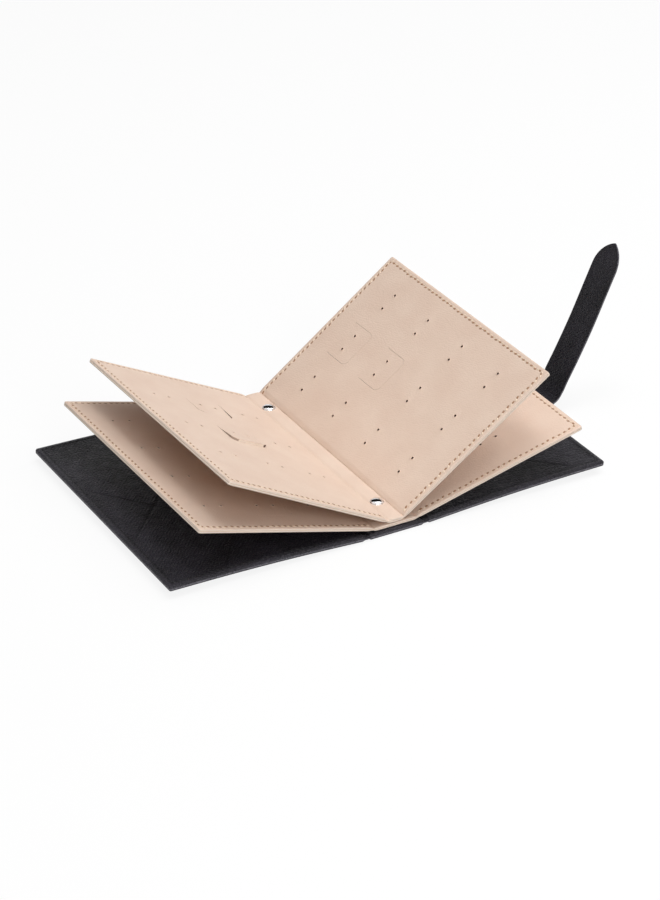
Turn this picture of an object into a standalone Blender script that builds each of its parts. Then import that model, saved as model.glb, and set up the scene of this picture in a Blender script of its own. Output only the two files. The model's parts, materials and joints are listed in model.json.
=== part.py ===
"""Earring book: a strapped leather case that opens like a book, with punched leaves for earrings.

Metres, +Z up. X runs across the open book towards the back cover, Y along the spine towards its far
end. The origin is the centre of the spine's underside, on the surface that the open book lies on.
Each moving piece hangs on an empty that stands on its fold's axis. In the space of such an empty,
"reach" is the distance from the axis out over the piece, and "rise" is the height over its mid plane.
"""

import math

import bmesh
import bpy
from mathutils import Matrix

# Cover: two boards and a spine, each a stiffener between an outer leather and a lining
COVER_HEIGHT = 0.190
BOARD_REACH = 0.1434
SPINE_SPAN = 0.0447
COVER_SKIN = 0.0009
COVER_STIFFENER = 0.0016
COVER_MARGIN = 0.005
COVER_CORNER = 0.003
SPINE_WALL = 0.0024
HINGE_BAND = 0.0016
HINGE_GROOVE = 0.0032
FRONT_LIFT_DEG = 2.0
BACK_LIFT_DEG = 2.0

# Leaves: set back from the cover's two ends. Two leaves grow from each strip, and all have a
# stiffener between two leathers
LEAF_SETBACK = 0.002
LEAF_REACH = 0.133
LEAF_SKIN = 0.0007
LEAF_STIFFENER = 0.0010
LEAF_MARGIN = 0.0045
LEAF_CORNER = 0.0025
FLAP_REACH = 0.0055
FLAP_SLOPE = 0.002
FLAP_SEAM = 0.001
FOLD_RADIUS = 0.0009
STRIP_STIFFENER = 0.0006
STRIP_WALL = 0.0010
OUTER_STRIP_SPAN = 0.033
INNER_STRIP_SPAN = 0.0126
OUTER_FOLD_RISE = 0.0019
INNER_FOLD_RISE = 0.0021
LEAF_1_ANGLE_DEG = 15.0
LEAF_2_ANGLE_DEG = 26.7
LEAF_3_ANGLE_DEG = 37.0
LEAF_4_ANGLE_DEG = 15.0

# Punched patterns: pairs of post holes in rows and columns, and two tongues cut free. Leaves 2 and 4
# have rows of their own
HOLE_RADIUS = 0.0009
HOLE_SIDES = 6
PAIR_SPACING = 0.0126
ROW_SHARES = (0.198, 0.496, 0.793)
COLUMN_SHARES = (0.166, 0.386, 0.606, 0.830)
LEAF_2_ROW_SHARES = (0.195, 0.466, 0.760)
LEAF_2_COLUMN_SHARES = (0.247, 0.483, 0.720)
LEAF_4_ROW_SHARES = (0.297, 0.588)
TAB_ROW = 1
FAR_TAB_COLUMNS = (0, 1)
NEAR_TAB_COLUMNS = (2, 3)
TAB_WIDTH = 0.029
TAB_DROP = 0.0135
TAB_SLIT = 0.0225
TAB_CORNER = 0.0045
SLIT_WIDTH = 0.0005

# Rivets that hold both strips to the spine
RIVET_INSET = 0.023
CAP_RADIUS = 0.0047
CAP_HEIGHT = 0.0020
CAP_BRIM = 0.0004
POST_RADIUS = 0.0016
SOCKET_DEPTH = 0.0010
FLANGE_RADIUS = 0.0040
FLANGE_THICKNESS = 0.0007
RIVET_SIDES = 24

# Strap: an anchor sewn under the back cover, then three stretches that fold on each other
STRAP_WIDTH = 0.025
STRAP_OUTER = 0.0008
STRAP_LINING = 0.0005
STRAP_OVERHANG = 0.0016
ANCHOR_LENGTH = 0.030
ROOT_LENGTH = 0.0197
BRIDGE_LENGTH = 0.0353
TONGUE_LENGTH = 0.0815
TIP_LENGTH = 0.019
ROOT_ANGLE_DEG = 14.7
BRIDGE_ANGLE_DEG = 63.9
TONGUE_ANGLE_DEG = 67.2

# Keeper loop on the outside of the front cover
KEEPER_INSET = 0.025
KEEPER_WIDTH = 0.011
KEEPER_LENGTH = 0.031
KEEPER_HEIGHT = 0.0034
KEEPER_WALL = 0.0012
KEEPER_BEND = 0.0015

# Clearances and curve steps
FIT_GAP = 0.0003
OVERRUN = 0.002
MERGE_DISTANCE = 0.000001
CORNER_STEPS = 4
NOSE_STEPS = 8
TIP_STEPS = 8
DOME_STEPS = 6

# Sizes that follow from the ones above
COVER_THICKNESS = 2 * COVER_SKIN + COVER_STIFFENER + 2 * FIT_GAP
COVER_HALF = COVER_THICKNESS / 2
COVER_ROOT = HINGE_GROOVE
LIP_ROOT = HINGE_BAND / 2 + FIT_GAP
SPINE_HALF = SPINE_SPAN / 2 - HINGE_GROOVE
LEAF_HEIGHT = COVER_HEIGHT - 2 * LEAF_SETBACK
LEAF_THICKNESS = 2 * LEAF_SKIN + LEAF_STIFFENER + 2 * FIT_GAP
LEAF_HALF = LEAF_THICKNESS / 2
LEAF_ROOT = FOLD_RADIUS + FIT_GAP
BODY_ROOT = LEAF_ROOT + FLAP_SLOPE
BODY_REACH = LEAF_REACH - FLAP_REACH
STRAP_HALF = (STRAP_OUTER + FIT_GAP + STRAP_LINING) / 2
STRIP_THICKNESS = 2 * LEAF_SKIN + STRIP_STIFFENER + 2 * FIT_GAP
OUTER_STRIP_BASE = COVER_THICKNESS + FIT_GAP
INNER_STRIP_BASE = OUTER_STRIP_BASE + STRIP_THICKNESS + FIT_GAP

# Finishes: linear colour, roughness, metallic
FINISHES = {
    "cover_leather": ((0.020, 0.018, 0.022), 0.50, 0.0),
    "page_leather": ((0.745, 0.600, 0.500), 0.62, 0.0),
    "stiffener": ((0.300, 0.270, 0.235), 0.90, 0.0),
    "chrome": ((0.800, 0.800, 0.810), 0.12, 1.0),
}


def clear_scene():
    """Remove every object that the scene starts with."""
    for item in list(bpy.data.objects):
        bpy.data.objects.remove(item)


def make_collection(name):
    """Add a collection under the scene's own."""
    group = bpy.data.collections.new(name)
    bpy.context.scene.collection.children.link(group)
    return group


def make_finish(name):
    """Add the Principled material of one finish."""
    colour, roughness, metallic = FINISHES[name]
    finish = bpy.data.materials.new(name)
    finish.use_nodes = True
    shader = finish.node_tree.nodes["Principled BSDF"]
    shader.inputs["Base Color"].default_value = (*colour, 1.0)
    shader.inputs["Roughness"].default_value = roughness
    shader.inputs["Metallic"].default_value = metallic
    finish.diffuse_color = (*colour, 1.0)
    return finish


def make_axis(name, parent, place, side, angle):
    """Add an empty on a fold's axis, turned up by an angle. Side is -1 for left and 1 for right."""
    axis = bpy.data.objects.new(name, None)
    PARTS.objects.link(axis)
    axis.parent = parent
    axis.location = place
    axis.rotation_euler = (0, -side * angle, 0)
    return axis


def add_part(name, mesh, finish, axis=None):
    """Add a mesh as one named piece of the book."""
    part = bpy.data.objects.new(name, mesh)
    PARTS.objects.link(part)
    part.parent = axis
    mesh.name = name
    mesh.materials.clear()
    mesh.materials.append(MATERIALS[finish])
    return part


def add_cutter(name, mesh, axis=None):
    """Add a mesh that only cuts other pieces."""
    cutter = bpy.data.objects.new(name, mesh)
    CUTTERS.objects.link(cutter)
    cutter.parent = axis
    cutter.hide_render = True
    cutter.display_type = "WIRE"
    return cutter


def combine(part, cutter, operation):
    """Put a Boolean modifier on a piece."""
    step = part.modifiers.new(cutter.name, "BOOLEAN")
    step.object = cutter
    step.operation = operation
    step.solver = "EXACT"


def arc(centre, radius, start_deg, end_deg, steps):
    """Points of a circle's arc, both ends counted."""
    points = []
    for step in range(steps + 1):
        angle = math.radians(start_deg + (end_deg - start_deg) * step / steps)
        points.append((centre[0] + radius * math.cos(angle), centre[1] + radius * math.sin(angle)))
    return points


def finish_mesh(bm, name):
    """Weld a bmesh, turn its faces outwards and store it."""
    bmesh.ops.remove_doubles(bm, verts=bm.verts, dist=MERGE_DISTANCE)
    bmesh.ops.recalc_face_normals(bm, faces=bm.faces)
    mesh = bpy.data.meshes.new(name)
    bm.to_mesh(mesh)
    bm.free()
    return mesh


def extrude_outline(name, outline, low, high, plane="XY"):
    """Solid from a flat outline in a plane, from low to high along the third direction."""
    curve = bpy.data.curves.new(name, "CURVE")
    curve.dimensions = "2D"
    curve.fill_mode = "BOTH"
    curve.extrude = (high - low) / 2
    spline = curve.splines.new("POLY")
    spline.points.add(len(outline) - 1)
    spline.use_cyclic_u = True
    for point, (first, second) in zip(spline.points, outline):
        point.co = (first, second, 0, 1)
    holder = bpy.data.objects.new(name, curve)
    PARTS.objects.link(holder)
    depsgraph = bpy.context.evaluated_depsgraph_get()
    flat = bpy.data.meshes.new_from_object(holder.evaluated_get(depsgraph))
    bpy.data.objects.remove(holder)
    bpy.data.curves.remove(curve)
    turn = {
        "XY": Matrix.Identity(4),
        "XZ": Matrix(((1, 0, 0, 0), (0, 0, 1, 0), (0, 1, 0, 0), (0, 0, 0, 1))),
        "YZ": Matrix(((0, 0, 1, 0), (1, 0, 0, 0), (0, 1, 0, 0), (0, 0, 0, 1))),
    }[plane]
    bm = bmesh.new()
    bm.from_mesh(flat)
    bpy.data.meshes.remove(flat)
    bm.transform(turn @ Matrix.Translation((0, 0, (high + low) / 2)))
    return finish_mesh(bm, name)


def block(name, low, high):
    """Box between two corners."""
    bm = bmesh.new()
    bmesh.ops.create_cube(bm, size=1)
    size = Matrix.Diagonal([abs(b - a) for a, b in zip(low, high)] + [1])
    middle = Matrix.Translation([(a + b) / 2 for a, b in zip(low, high)])
    bm.transform(middle @ size)
    return finish_mesh(bm, name)


def along(side, profile):
    """Profile of reach and rise, laid out on one side of its axis."""
    return [(side * reach, rise) for reach, rise in profile]


def rounded_board(side, start, reach, height, corner):
    """Outline of a board from start to reach, with its two fore corners rounded."""
    half = height / 2
    outline = [(start, -half)]
    outline += arc((reach - corner, -half + corner), corner, -90, 0, CORNER_STEPS)
    outline += arc((reach - corner, half - corner), corner, 0, 90, CORNER_STEPS)
    outline.append((start, half))
    return along(side, outline)


def turned(name, profile):
    """Solid of revolution about Z from a profile of radius and height."""
    line = bpy.data.meshes.new(name)
    points = [(radius, 0, height) for radius, height in profile]
    line.from_pydata(points, [(i, i + 1) for i in range(len(points) - 1)], [])
    holder = bpy.data.objects.new(name, line)
    PARTS.objects.link(holder)
    screw = holder.modifiers.new("turn", "SCREW")
    screw.angle = math.tau
    screw.steps = RIVET_SIDES
    screw.render_steps = RIVET_SIDES
    screw.use_merge_vertices = True
    screw.merge_threshold = MERGE_DISTANCE
    depsgraph = bpy.context.evaluated_depsgraph_get()
    ring = bpy.data.meshes.new_from_object(holder.evaluated_get(depsgraph))
    bpy.data.objects.remove(holder)
    bm = bmesh.new()
    bm.from_mesh(ring)
    bpy.data.meshes.remove(ring)
    return finish_mesh(bm, name)


def nosed_band(start, end, radius, high):
    """Profile of a band whose far end carries a round nose, the bead that the next piece folds on.

    The band's under side is level with the bead's, and its upper side lies at the given height.
    """
    last = 180 - math.degrees(math.asin(high / radius))
    return [(start, -radius)] + arc((end, 0), radius, -90, last, NOSE_STEPS) + [(start, high)]


def make_spine():
    """Spine: outer leather, stiffener, lining and the leather of both hinge grooves."""
    half_height = COVER_HEIGHT / 2
    skin = block("spine_leather", (-SPINE_HALF, -half_height, 0), (SPINE_HALF, half_height, COVER_SKIN))
    add_part("spine_leather", skin, "cover_leather")

    board_low = COVER_SKIN + FIT_GAP
    board_high = board_low + COVER_STIFFENER
    board_x = SPINE_HALF - SPINE_WALL - FIT_GAP
    board_y = half_height - COVER_MARGIN - FIT_GAP
    mesh = block("spine_board", (-board_x, -board_y, board_low), (board_x, board_y, board_high))
    board = add_part("spine_board", mesh, "stiffener")

    mesh = block(
        "spine_lining", (-SPINE_HALF, -half_height, board_low), (SPINE_HALF, half_height, COVER_THICKNESS)
    )
    lining = add_part("spine_lining", mesh, "cover_leather")
    pocket_x, pocket_y = board_x + FIT_GAP, board_y + FIT_GAP
    pocket = block(
        "spine_pocket", (-pocket_x, -pocket_y, -OVERRUN), (pocket_x, pocket_y, board_high + FIT_GAP)
    )
    combine(lining, add_cutter("spine_pocket", pocket), "DIFFERENCE")

    for name, side in (("front_hinge_leather", -1), ("back_hinge_leather", 1)):
        axis_x = SPINE_SPAN / 2
        radius = HINGE_BAND / 2
        profile = nosed_band(SPINE_HALF + FIT_GAP, axis_x, radius, radius)
        outline = [(side * reach, COVER_HALF + rise) for reach, rise in profile]
        band = extrude_outline(name, outline, -half_height, half_height, "XZ")
        add_part(name, band, "cover_leather")
    return board, lining


def make_strip(name, base, span, fold_rise):
    """Page strip and its stiffener. Its two rims are the beads that the leaves fold on."""
    half_height = LEAF_HEIGHT / 2
    last = 180 - math.degrees(math.asin((STRIP_THICKNESS - fold_rise) / FOLD_RADIUS))
    right = [(span / 2 + FOLD_RADIUS, 0)]
    right += arc((span / 2, fold_rise), FOLD_RADIUS, 0, last, NOSE_STEPS)
    outline = right + [(-x, z) for x, z in reversed(right)]
    outline = [(x, base + z) for x, z in outline]
    mesh = extrude_outline(name, outline, -half_height, half_height, "XZ")
    strip = add_part(name, mesh, "page_leather")

    pocket_x = span / 2 - FOLD_RADIUS - STRIP_WALL
    pocket_y = half_height - LEAF_MARGIN
    pocket_low, pocket_high = base + LEAF_SKIN, base + STRIP_THICKNESS - LEAF_SKIN
    pocket = block(name + "_pocket", (-pocket_x, -pocket_y, pocket_low), (pocket_x, pocket_y, pocket_high))
    combine(strip, add_cutter(name + "_pocket", pocket), "DIFFERENCE")
    board_x, board_y = pocket_x - FIT_GAP, pocket_y - FIT_GAP
    low, high = pocket_low + FIT_GAP, pocket_high - FIT_GAP
    mesh = block(name + "_board", (-board_x, -board_y, low), (board_x, board_y, high))
    return [strip, add_part(name + "_board", mesh, "stiffener")]


def make_rivets(drilled, board):
    """Two rivets: flanged posts from inside the spine, and domed caps on the inner strip."""
    flange_low = COVER_SKIN + FIT_GAP
    flange_high = flange_low + FLANGE_THICKNESS
    cap_low = INNER_STRIP_BASE + STRIP_THICKNESS + FIT_GAP
    post_high = cap_low + SOCKET_DEPTH - FIT_GAP
    socket = POST_RADIUS + FIT_GAP
    post = [
        (0, post_high),
        (POST_RADIUS, post_high),
        (POST_RADIUS, flange_high),
        (FLANGE_RADIUS, flange_high),
        (FLANGE_RADIUS, flange_low),
        (0, flange_low),
    ]
    dome_height = CAP_HEIGHT - CAP_BRIM
    cap = [(0, cap_low + CAP_HEIGHT)]
    for step in range(1, DOME_STEPS + 1):
        angle = math.pi / 2 * (1 - step / DOME_STEPS)
        cap.append((CAP_RADIUS * math.cos(angle), cap_low + CAP_BRIM + dome_height * math.sin(angle)))
    cap += [(CAP_RADIUS, cap_low), (socket, cap_low)]
    cap += [(socket, cap_low + SOCKET_DEPTH), (0, cap_low + SOCKET_DEPTH)]
    bore = [(0, cap_low), (socket, cap_low), (socket, 0), (0, 0)]
    seat_radius = FLANGE_RADIUS + FIT_GAP
    seat_high = flange_high + FIT_GAP
    seat = [(0, cap_low), (socket, cap_low), (socket, seat_high)]
    seat += [(seat_radius, seat_high), (seat_radius, 0), (0, 0)]

    post_mesh = turned("rivet_post", post)
    cap_mesh = turned("rivet_cap", cap)
    bore_mesh = turned("rivet_bore", bore)
    seat_mesh = turned("rivet_seat", seat)
    for end, side in (("near", -1), ("far", 1)):
        place = (0, side * (LEAF_HEIGHT / 2 - RIVET_INSET), 0)
        add_part("rivet_post_" + end, post_mesh, "chrome").location = place
        add_part("rivet_cap_" + end, cap_mesh, "chrome").location = place
        bore_cutter = add_cutter("rivet_bore_" + end, bore_mesh)
        seat_cutter = add_cutter("rivet_seat_" + end, seat_mesh)
        bore_cutter.location = place
        seat_cutter.location = place
        for part in drilled:
            combine(part, bore_cutter, "DIFFERENCE")
        combine(board, seat_cutter, "DIFFERENCE")


def make_cover(name, side, lift):
    """Cover board on its hinge: outer leather, stiffener, and a lining stitched round it."""
    axis = make_axis(name + "_axis", None, (side * SPINE_SPAN / 2, 0, COVER_HALF), side, lift)
    half_height = COVER_HEIGHT / 2
    inner_half = COVER_HALF - COVER_SKIN
    stiff_half = COVER_STIFFENER / 2

    outline = rounded_board(side, COVER_ROOT, BOARD_REACH, COVER_HEIGHT, COVER_CORNER)
    skin = extrude_outline(name + "_leather", outline, -COVER_HALF, -inner_half)
    add_part(name + "_leather", skin, "cover_leather", axis)

    start = COVER_ROOT + SPINE_WALL
    end = BOARD_REACH - COVER_MARGIN
    board_y = half_height - COVER_MARGIN
    board = block(
        name + "_board",
        (side * (start + FIT_GAP), -board_y + FIT_GAP, -stiff_half),
        (side * (end - FIT_GAP), board_y - FIT_GAP, stiff_half),
    )
    add_part(name + "_board", board, "stiffener", axis)

    lip = HINGE_BAND / 2
    profile = [
        (LIP_ROOT, -lip),
        (BOARD_REACH, -lip),
        (BOARD_REACH, COVER_HALF),
        (COVER_ROOT, COVER_HALF),
        (COVER_ROOT, lip),
        (LIP_ROOT, lip),
    ]
    mesh = extrude_outline(name + "_lining", along(side, profile), -half_height, half_height, "XZ")
    lining = add_part(name + "_lining", mesh, "cover_leather", axis)
    low, high = (side * start, -board_y, -COVER_HALF), (side * end, board_y, inner_half)
    pocket = block(name + "_pocket", low, high)
    combine(lining, add_cutter(name + "_pocket", pocket, axis), "DIFFERENCE")
    outline = rounded_board(side, 0, BOARD_REACH, COVER_HEIGHT, COVER_CORNER)
    blank = extrude_outline(name + "_blank", outline, -COVER_HALF, COVER_HALF + OVERRUN)
    combine(lining, add_cutter(name + "_blank", blank, axis), "INTERSECT")
    return axis


def slit_outline(side, centre_reach, centre_y):
    """U-shaped slit round a pair of holes, open towards the far end."""

    def half_turn(half_width, drop, corner):
        near = centre_y - drop
        path = [(centre_reach - half_width, centre_y - TAB_DROP + TAB_SLIT)]
        path += arc((centre_reach - half_width + corner, near + corner), corner, 180, 270, CORNER_STEPS)
        path += arc((centre_reach + half_width - corner, near + corner), corner, 270, 360, CORNER_STEPS)
        path.append((centre_reach + half_width, centre_y - TAB_DROP + TAB_SLIT))
        return path

    outside = half_turn(TAB_WIDTH / 2, TAB_DROP, TAB_CORNER)
    inside = half_turn(TAB_WIDTH / 2 - SLIT_WIDTH, TAB_DROP - SLIT_WIDTH, TAB_CORNER - SLIT_WIDTH)
    return along(side, outside + inside[::-1])


def punch_mesh(name, side, row_shares, column_shares, tab_columns):
    """Cutter with every hole and slit of a leaf."""
    depth = LEAF_THICKNESS + 2 * OVERRUN
    bm = bmesh.new()
    for column, column_share in enumerate(column_shares):
        y = LEAF_HEIGHT * (1 / 2 - column_share)
        for row, row_share in enumerate(row_shares):
            reach = LEAF_REACH * row_share - FLAP_REACH
            for step in (-1, 1):
                place = Matrix.Translation((side * (reach + step * PAIR_SPACING / 2), y, 0))
                bmesh.ops.create_cone(
                    bm,
                    cap_ends=True,
                    segments=HOLE_SIDES,
                    radius1=HOLE_RADIUS,
                    radius2=HOLE_RADIUS,
                    depth=depth,
                    matrix=place,
                )
            if row == TAB_ROW and column in tab_columns:
                slit = extrude_outline(name, slit_outline(side, reach, y), -depth / 2, depth / 2)
                bm.from_mesh(slit)
                bpy.data.meshes.remove(slit)
    return finish_mesh(bm, name)


def make_leaf(name, side, fold, angle, pattern):
    """Leaf: a flap on the strip's bead, and on its own bead two leathers stitched round a stiffener.

    The upper leather starts thin, so that it clears the flap when the leaf turns right over.
    """
    base, span, fold_rise = fold
    place = (side * span / 2, 0, base + fold_rise)
    flap_axis = make_axis(name + "_flap_axis", None, place, side, angle)
    half_height = LEAF_HEIGHT / 2
    profile = nosed_band(LEAF_ROOT, FLAP_REACH, FOLD_RADIUS, FOLD_RADIUS)
    mesh = extrude_outline(name + "_flap", along(side, profile), -half_height, half_height, "XZ")
    add_part(name + "_flap", mesh, "page_leather", flap_axis)

    axis = make_axis(name + "_axis", flap_axis, (side * FLAP_REACH, 0, 0), side, 0)
    inner = LEAF_HALF - LEAF_SKIN
    seam = FIT_GAP / 2
    upper = [
        (LEAF_ROOT, seam),
        (BODY_ROOT, inner),
        (BODY_REACH, inner),
        (BODY_REACH, LEAF_HALF),
        (BODY_ROOT, LEAF_HALF),
        (LEAF_ROOT, FOLD_RADIUS / 2),
    ]
    lower = [
        (LEAF_ROOT, -seam),
        (BODY_ROOT, inner - FIT_GAP),
        (BODY_REACH, inner - FIT_GAP),
        (BODY_REACH, -LEAF_HALF),
        (BODY_ROOT, -LEAF_HALF),
        (LEAF_ROOT, -FOLD_RADIUS),
    ]
    layers = []
    for layer, profile in (("_upper_leather", upper), ("_lower_leather", lower)):
        mesh = extrude_outline(name + layer, along(side, profile), -half_height, half_height, "XZ")
        layers.append(add_part(name + layer, mesh, "page_leather", axis))

    start = BODY_ROOT + FLAP_SEAM
    end = BODY_REACH - LEAF_MARGIN
    pocket_y = half_height - LEAF_MARGIN
    stiff_half = LEAF_STIFFENER / 2
    mesh = block(
        name + "_board",
        (side * (start + FIT_GAP), -pocket_y + FIT_GAP, -stiff_half),
        (side * (end - FIT_GAP), pocket_y - FIT_GAP, stiff_half),
    )
    board = add_part(name + "_board", mesh, "stiffener", axis)
    pocket = block(name + "_pocket", (side * start, -pocket_y, -inner), (side * end, pocket_y, LEAF_HALF))
    combine(layers[1], add_cutter(name + "_pocket", pocket, axis), "DIFFERENCE")

    outline = rounded_board(side, 0, BODY_REACH, LEAF_HEIGHT, LEAF_CORNER)
    blank = extrude_outline(name + "_blank", outline, -LEAF_HALF - OVERRUN, LEAF_HALF + OVERRUN)
    blank = add_cutter(name + "_blank", blank, axis)
    punch = add_cutter(name + "_punch", punch_mesh(name + "_punch", side, *pattern), axis)
    for layer in layers:
        combine(layer, blank, "INTERSECT")
    for layer in layers + [board]:
        combine(layer, punch, "DIFFERENCE")


def make_strap_stretch(name, axis, start, end, rise):
    """Stretch of strap whose far end carries the bead of the next fold."""
    band = nosed_band(start, end, STRAP_HALF, STRAP_OUTER - STRAP_HALF)
    outline = [(reach, rise + height) for reach, height in band]
    half = STRAP_WIDTH / 2
    outer = extrude_outline(name + "_outer", outline, -half, half, "XZ")
    add_part(name + "_outer", outer, "cover_leather", axis)
    lining_end = end - STRAP_HALF - FIT_GAP
    lining = block(
        name + "_lining",
        (start, -half, rise + STRAP_HALF - STRAP_LINING),
        (lining_end, half, rise + STRAP_HALF),
    )
    add_part(name + "_lining", lining, "cover_leather", axis)


def tongue_outline(start):
    """Plan of the strap's tongue: parallel edges that close in two equal arcs to a point."""
    half = STRAP_WIDTH / 2
    shoulder = TONGUE_LENGTH - TIP_LENGTH
    radius = (TIP_LENGTH ** 2 + half ** 2) / (2 * half)
    sweep = math.degrees(math.asin(TIP_LENGTH / radius))
    near = [(shoulder + y, x) for x, y in arc((radius - half, 0), radius, 180, 180 - sweep, TIP_STEPS)]
    far = [(reach, -y) for reach, y in reversed(near[:-1])]
    return [(start, -half)] + near + far + [(start, half)]


def make_strap(cover_axis):
    """Strap: anchor under the back cover, root, bridge and pointed tongue."""
    rise = -COVER_HALF - FIT_GAP - STRAP_HALF
    fold = BOARD_REACH + STRAP_OVERHANG
    make_strap_stretch("strap_anchor", cover_axis, BOARD_REACH - ANCHOR_LENGTH, fold, rise)
    start = STRAP_HALF + FIT_GAP
    turn = math.radians(ROOT_ANGLE_DEG - BACK_LIFT_DEG)
    root_axis = make_axis("strap_root_axis", cover_axis, (fold, 0, rise), 1, turn)
    make_strap_stretch("strap_root", root_axis, start, ROOT_LENGTH, 0)
    turn = math.radians(BRIDGE_ANGLE_DEG - ROOT_ANGLE_DEG)
    bridge_axis = make_axis("strap_bridge_axis", root_axis, (ROOT_LENGTH, 0, 0), 1, turn)
    make_strap_stretch("strap_bridge", bridge_axis, start, BRIDGE_LENGTH, 0)
    turn = math.radians(TONGUE_ANGLE_DEG - BRIDGE_ANGLE_DEG)
    tongue_axis = make_axis("strap_tongue_axis", bridge_axis, (BRIDGE_LENGTH, 0, 0), 1, turn)
    outline = tongue_outline(start)
    outer = extrude_outline("strap_tongue_outer", outline, -STRAP_HALF, STRAP_OUTER - STRAP_HALF)
    add_part("strap_tongue_outer", outer, "cover_leather", tongue_axis)
    lining = extrude_outline("strap_tongue_lining", outline, STRAP_HALF - STRAP_LINING, STRAP_HALF)
    add_part("strap_tongue_lining", lining, "cover_leather", tongue_axis)


def make_keeper(cover_axis):
    """Keeper loop: a low arch of leather across the strap's way, feet against the cover."""
    half = KEEPER_LENGTH / 2
    top = -COVER_HALF - FIT_GAP
    bottom = top - KEEPER_HEIGHT
    inside = half - KEEPER_WALL
    ceiling = bottom + KEEPER_WALL
    outline = [(-half, top)]
    outline += arc((-half + KEEPER_BEND, bottom + KEEPER_BEND), KEEPER_BEND, 180, 270, CORNER_STEPS)
    outline += arc((half - KEEPER_BEND, bottom + KEEPER_BEND), KEEPER_BEND, 270, 360, CORNER_STEPS)
    outline += [(half, top), (inside, top), (inside, ceiling), (-inside, ceiling), (-inside, top)]
    middle = -(BOARD_REACH - KEEPER_INSET)
    low, high = middle - KEEPER_WIDTH / 2, middle + KEEPER_WIDTH / 2
    loop = extrude_outline("keeper_loop", outline, low, high, "YZ")
    add_part("keeper_loop", loop, "cover_leather", cover_axis)


def main():
    """Build the whole book."""
    board, lining = make_spine()
    outer = make_strip("outer_page_strip", OUTER_STRIP_BASE, OUTER_STRIP_SPAN, OUTER_FOLD_RISE)
    inner = make_strip("inner_page_strip", INNER_STRIP_BASE, INNER_STRIP_SPAN, INNER_FOLD_RISE)
    make_rivets([lining] + outer + inner, board)

    front_axis = make_cover("front_cover", -1, math.radians(FRONT_LIFT_DEG))
    back_axis = make_cover("back_cover", 1, math.radians(BACK_LIFT_DEG))
    make_keeper(front_axis)
    make_strap(back_axis)

    outer_fold = (OUTER_STRIP_BASE, OUTER_STRIP_SPAN, OUTER_FOLD_RISE)
    inner_fold = (INNER_STRIP_BASE, INNER_STRIP_SPAN, INNER_FOLD_RISE)
    pattern = (ROW_SHARES, COLUMN_SHARES, NEAR_TAB_COLUMNS)
    make_leaf("leaf_1", -1, outer_fold, math.radians(LEAF_1_ANGLE_DEG), pattern)
    pattern = (LEAF_2_ROW_SHARES, LEAF_2_COLUMN_SHARES, FAR_TAB_COLUMNS)
    make_leaf("leaf_2", -1, inner_fold, math.radians(LEAF_2_ANGLE_DEG), pattern)
    pattern = (ROW_SHARES, COLUMN_SHARES, FAR_TAB_COLUMNS)
    make_leaf("leaf_3", 1, inner_fold, math.radians(LEAF_3_ANGLE_DEG), pattern)
    pattern = (LEAF_4_ROW_SHARES, COLUMN_SHARES, FAR_TAB_COLUMNS)
    make_leaf("leaf_4", 1, outer_fold, math.radians(LEAF_4_ANGLE_DEG), pattern)


clear_scene()
PARTS = make_collection("earring_book")
CUTTERS = make_collection("cutters")
MATERIALS = {name: make_finish(name) for name in FINISHES}
main()
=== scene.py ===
"""Looks of the open earring book: its leathers, stitching, punched holes, rivets and strap.

Metres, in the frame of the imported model. Every leather is laid out flat first, as it lies on the
cutting table: run goes outwards from the middle of the spine, y along the spine, and rise is the
height over the sheet's own mid plane. A course then carries the flat sheet into the open book.
"""

import bisect
import json
import logging
import math
from collections.abc import Callable, Iterable, Sequence
from dataclasses import dataclass, field
from enum import Enum

import bpy
from mathutils import Matrix, Vector
from mathutils.geometry import delaunay_2d_cdt


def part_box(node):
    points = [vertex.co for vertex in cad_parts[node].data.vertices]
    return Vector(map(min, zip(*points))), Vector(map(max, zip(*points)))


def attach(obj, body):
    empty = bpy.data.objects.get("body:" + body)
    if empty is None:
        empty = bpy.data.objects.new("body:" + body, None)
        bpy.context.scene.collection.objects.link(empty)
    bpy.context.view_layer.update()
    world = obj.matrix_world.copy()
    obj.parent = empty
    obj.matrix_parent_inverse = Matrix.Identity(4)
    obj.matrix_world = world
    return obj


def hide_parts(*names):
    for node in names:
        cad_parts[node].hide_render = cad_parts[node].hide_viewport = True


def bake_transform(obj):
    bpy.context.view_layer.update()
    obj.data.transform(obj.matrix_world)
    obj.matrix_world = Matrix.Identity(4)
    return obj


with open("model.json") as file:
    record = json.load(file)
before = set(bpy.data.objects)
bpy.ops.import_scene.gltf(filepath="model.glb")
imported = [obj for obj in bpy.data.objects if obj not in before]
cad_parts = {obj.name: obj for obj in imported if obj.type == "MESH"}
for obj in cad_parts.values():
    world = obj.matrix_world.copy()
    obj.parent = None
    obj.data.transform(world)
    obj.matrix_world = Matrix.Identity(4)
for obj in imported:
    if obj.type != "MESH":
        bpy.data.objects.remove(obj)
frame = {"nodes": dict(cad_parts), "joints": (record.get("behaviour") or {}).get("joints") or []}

LOG = logging.getLogger("earring_book")
MM = 0.001
TOUCH = 0.0001 * MM
MERGE = 0.002 * MM
GUTTER_GRID = 4 * MM
# Marks a sheet carries: edge tone, partly painted light; seam line; cut, which is painted shade
MARKS = ("edge", "seam", "cut")
Point = tuple[float, float]
Line = Sequence[Point]
Colour = tuple[float, float, float]
Surface = Callable[[float, float], float]
Mesh = bpy.types.Mesh
Material = bpy.types.Material
Socket = bpy.types.NodeSocket
Piece = bpy.types.Object


class Side(Enum):
    """Half of the open book, by the way that run heads along X."""

    LEFT = -1
    RIGHT = 1


class Face(Enum):
    """Side of a sheet: upper is the one that faces up in the open book."""

    UPPER = 1
    LOWER = -1


class Pattern(Enum):
    """What a finish's grain is pinned to: a sheet's flat layout, or the object's own space."""

    FLAT = "leather"
    SPACE = "space"


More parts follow.
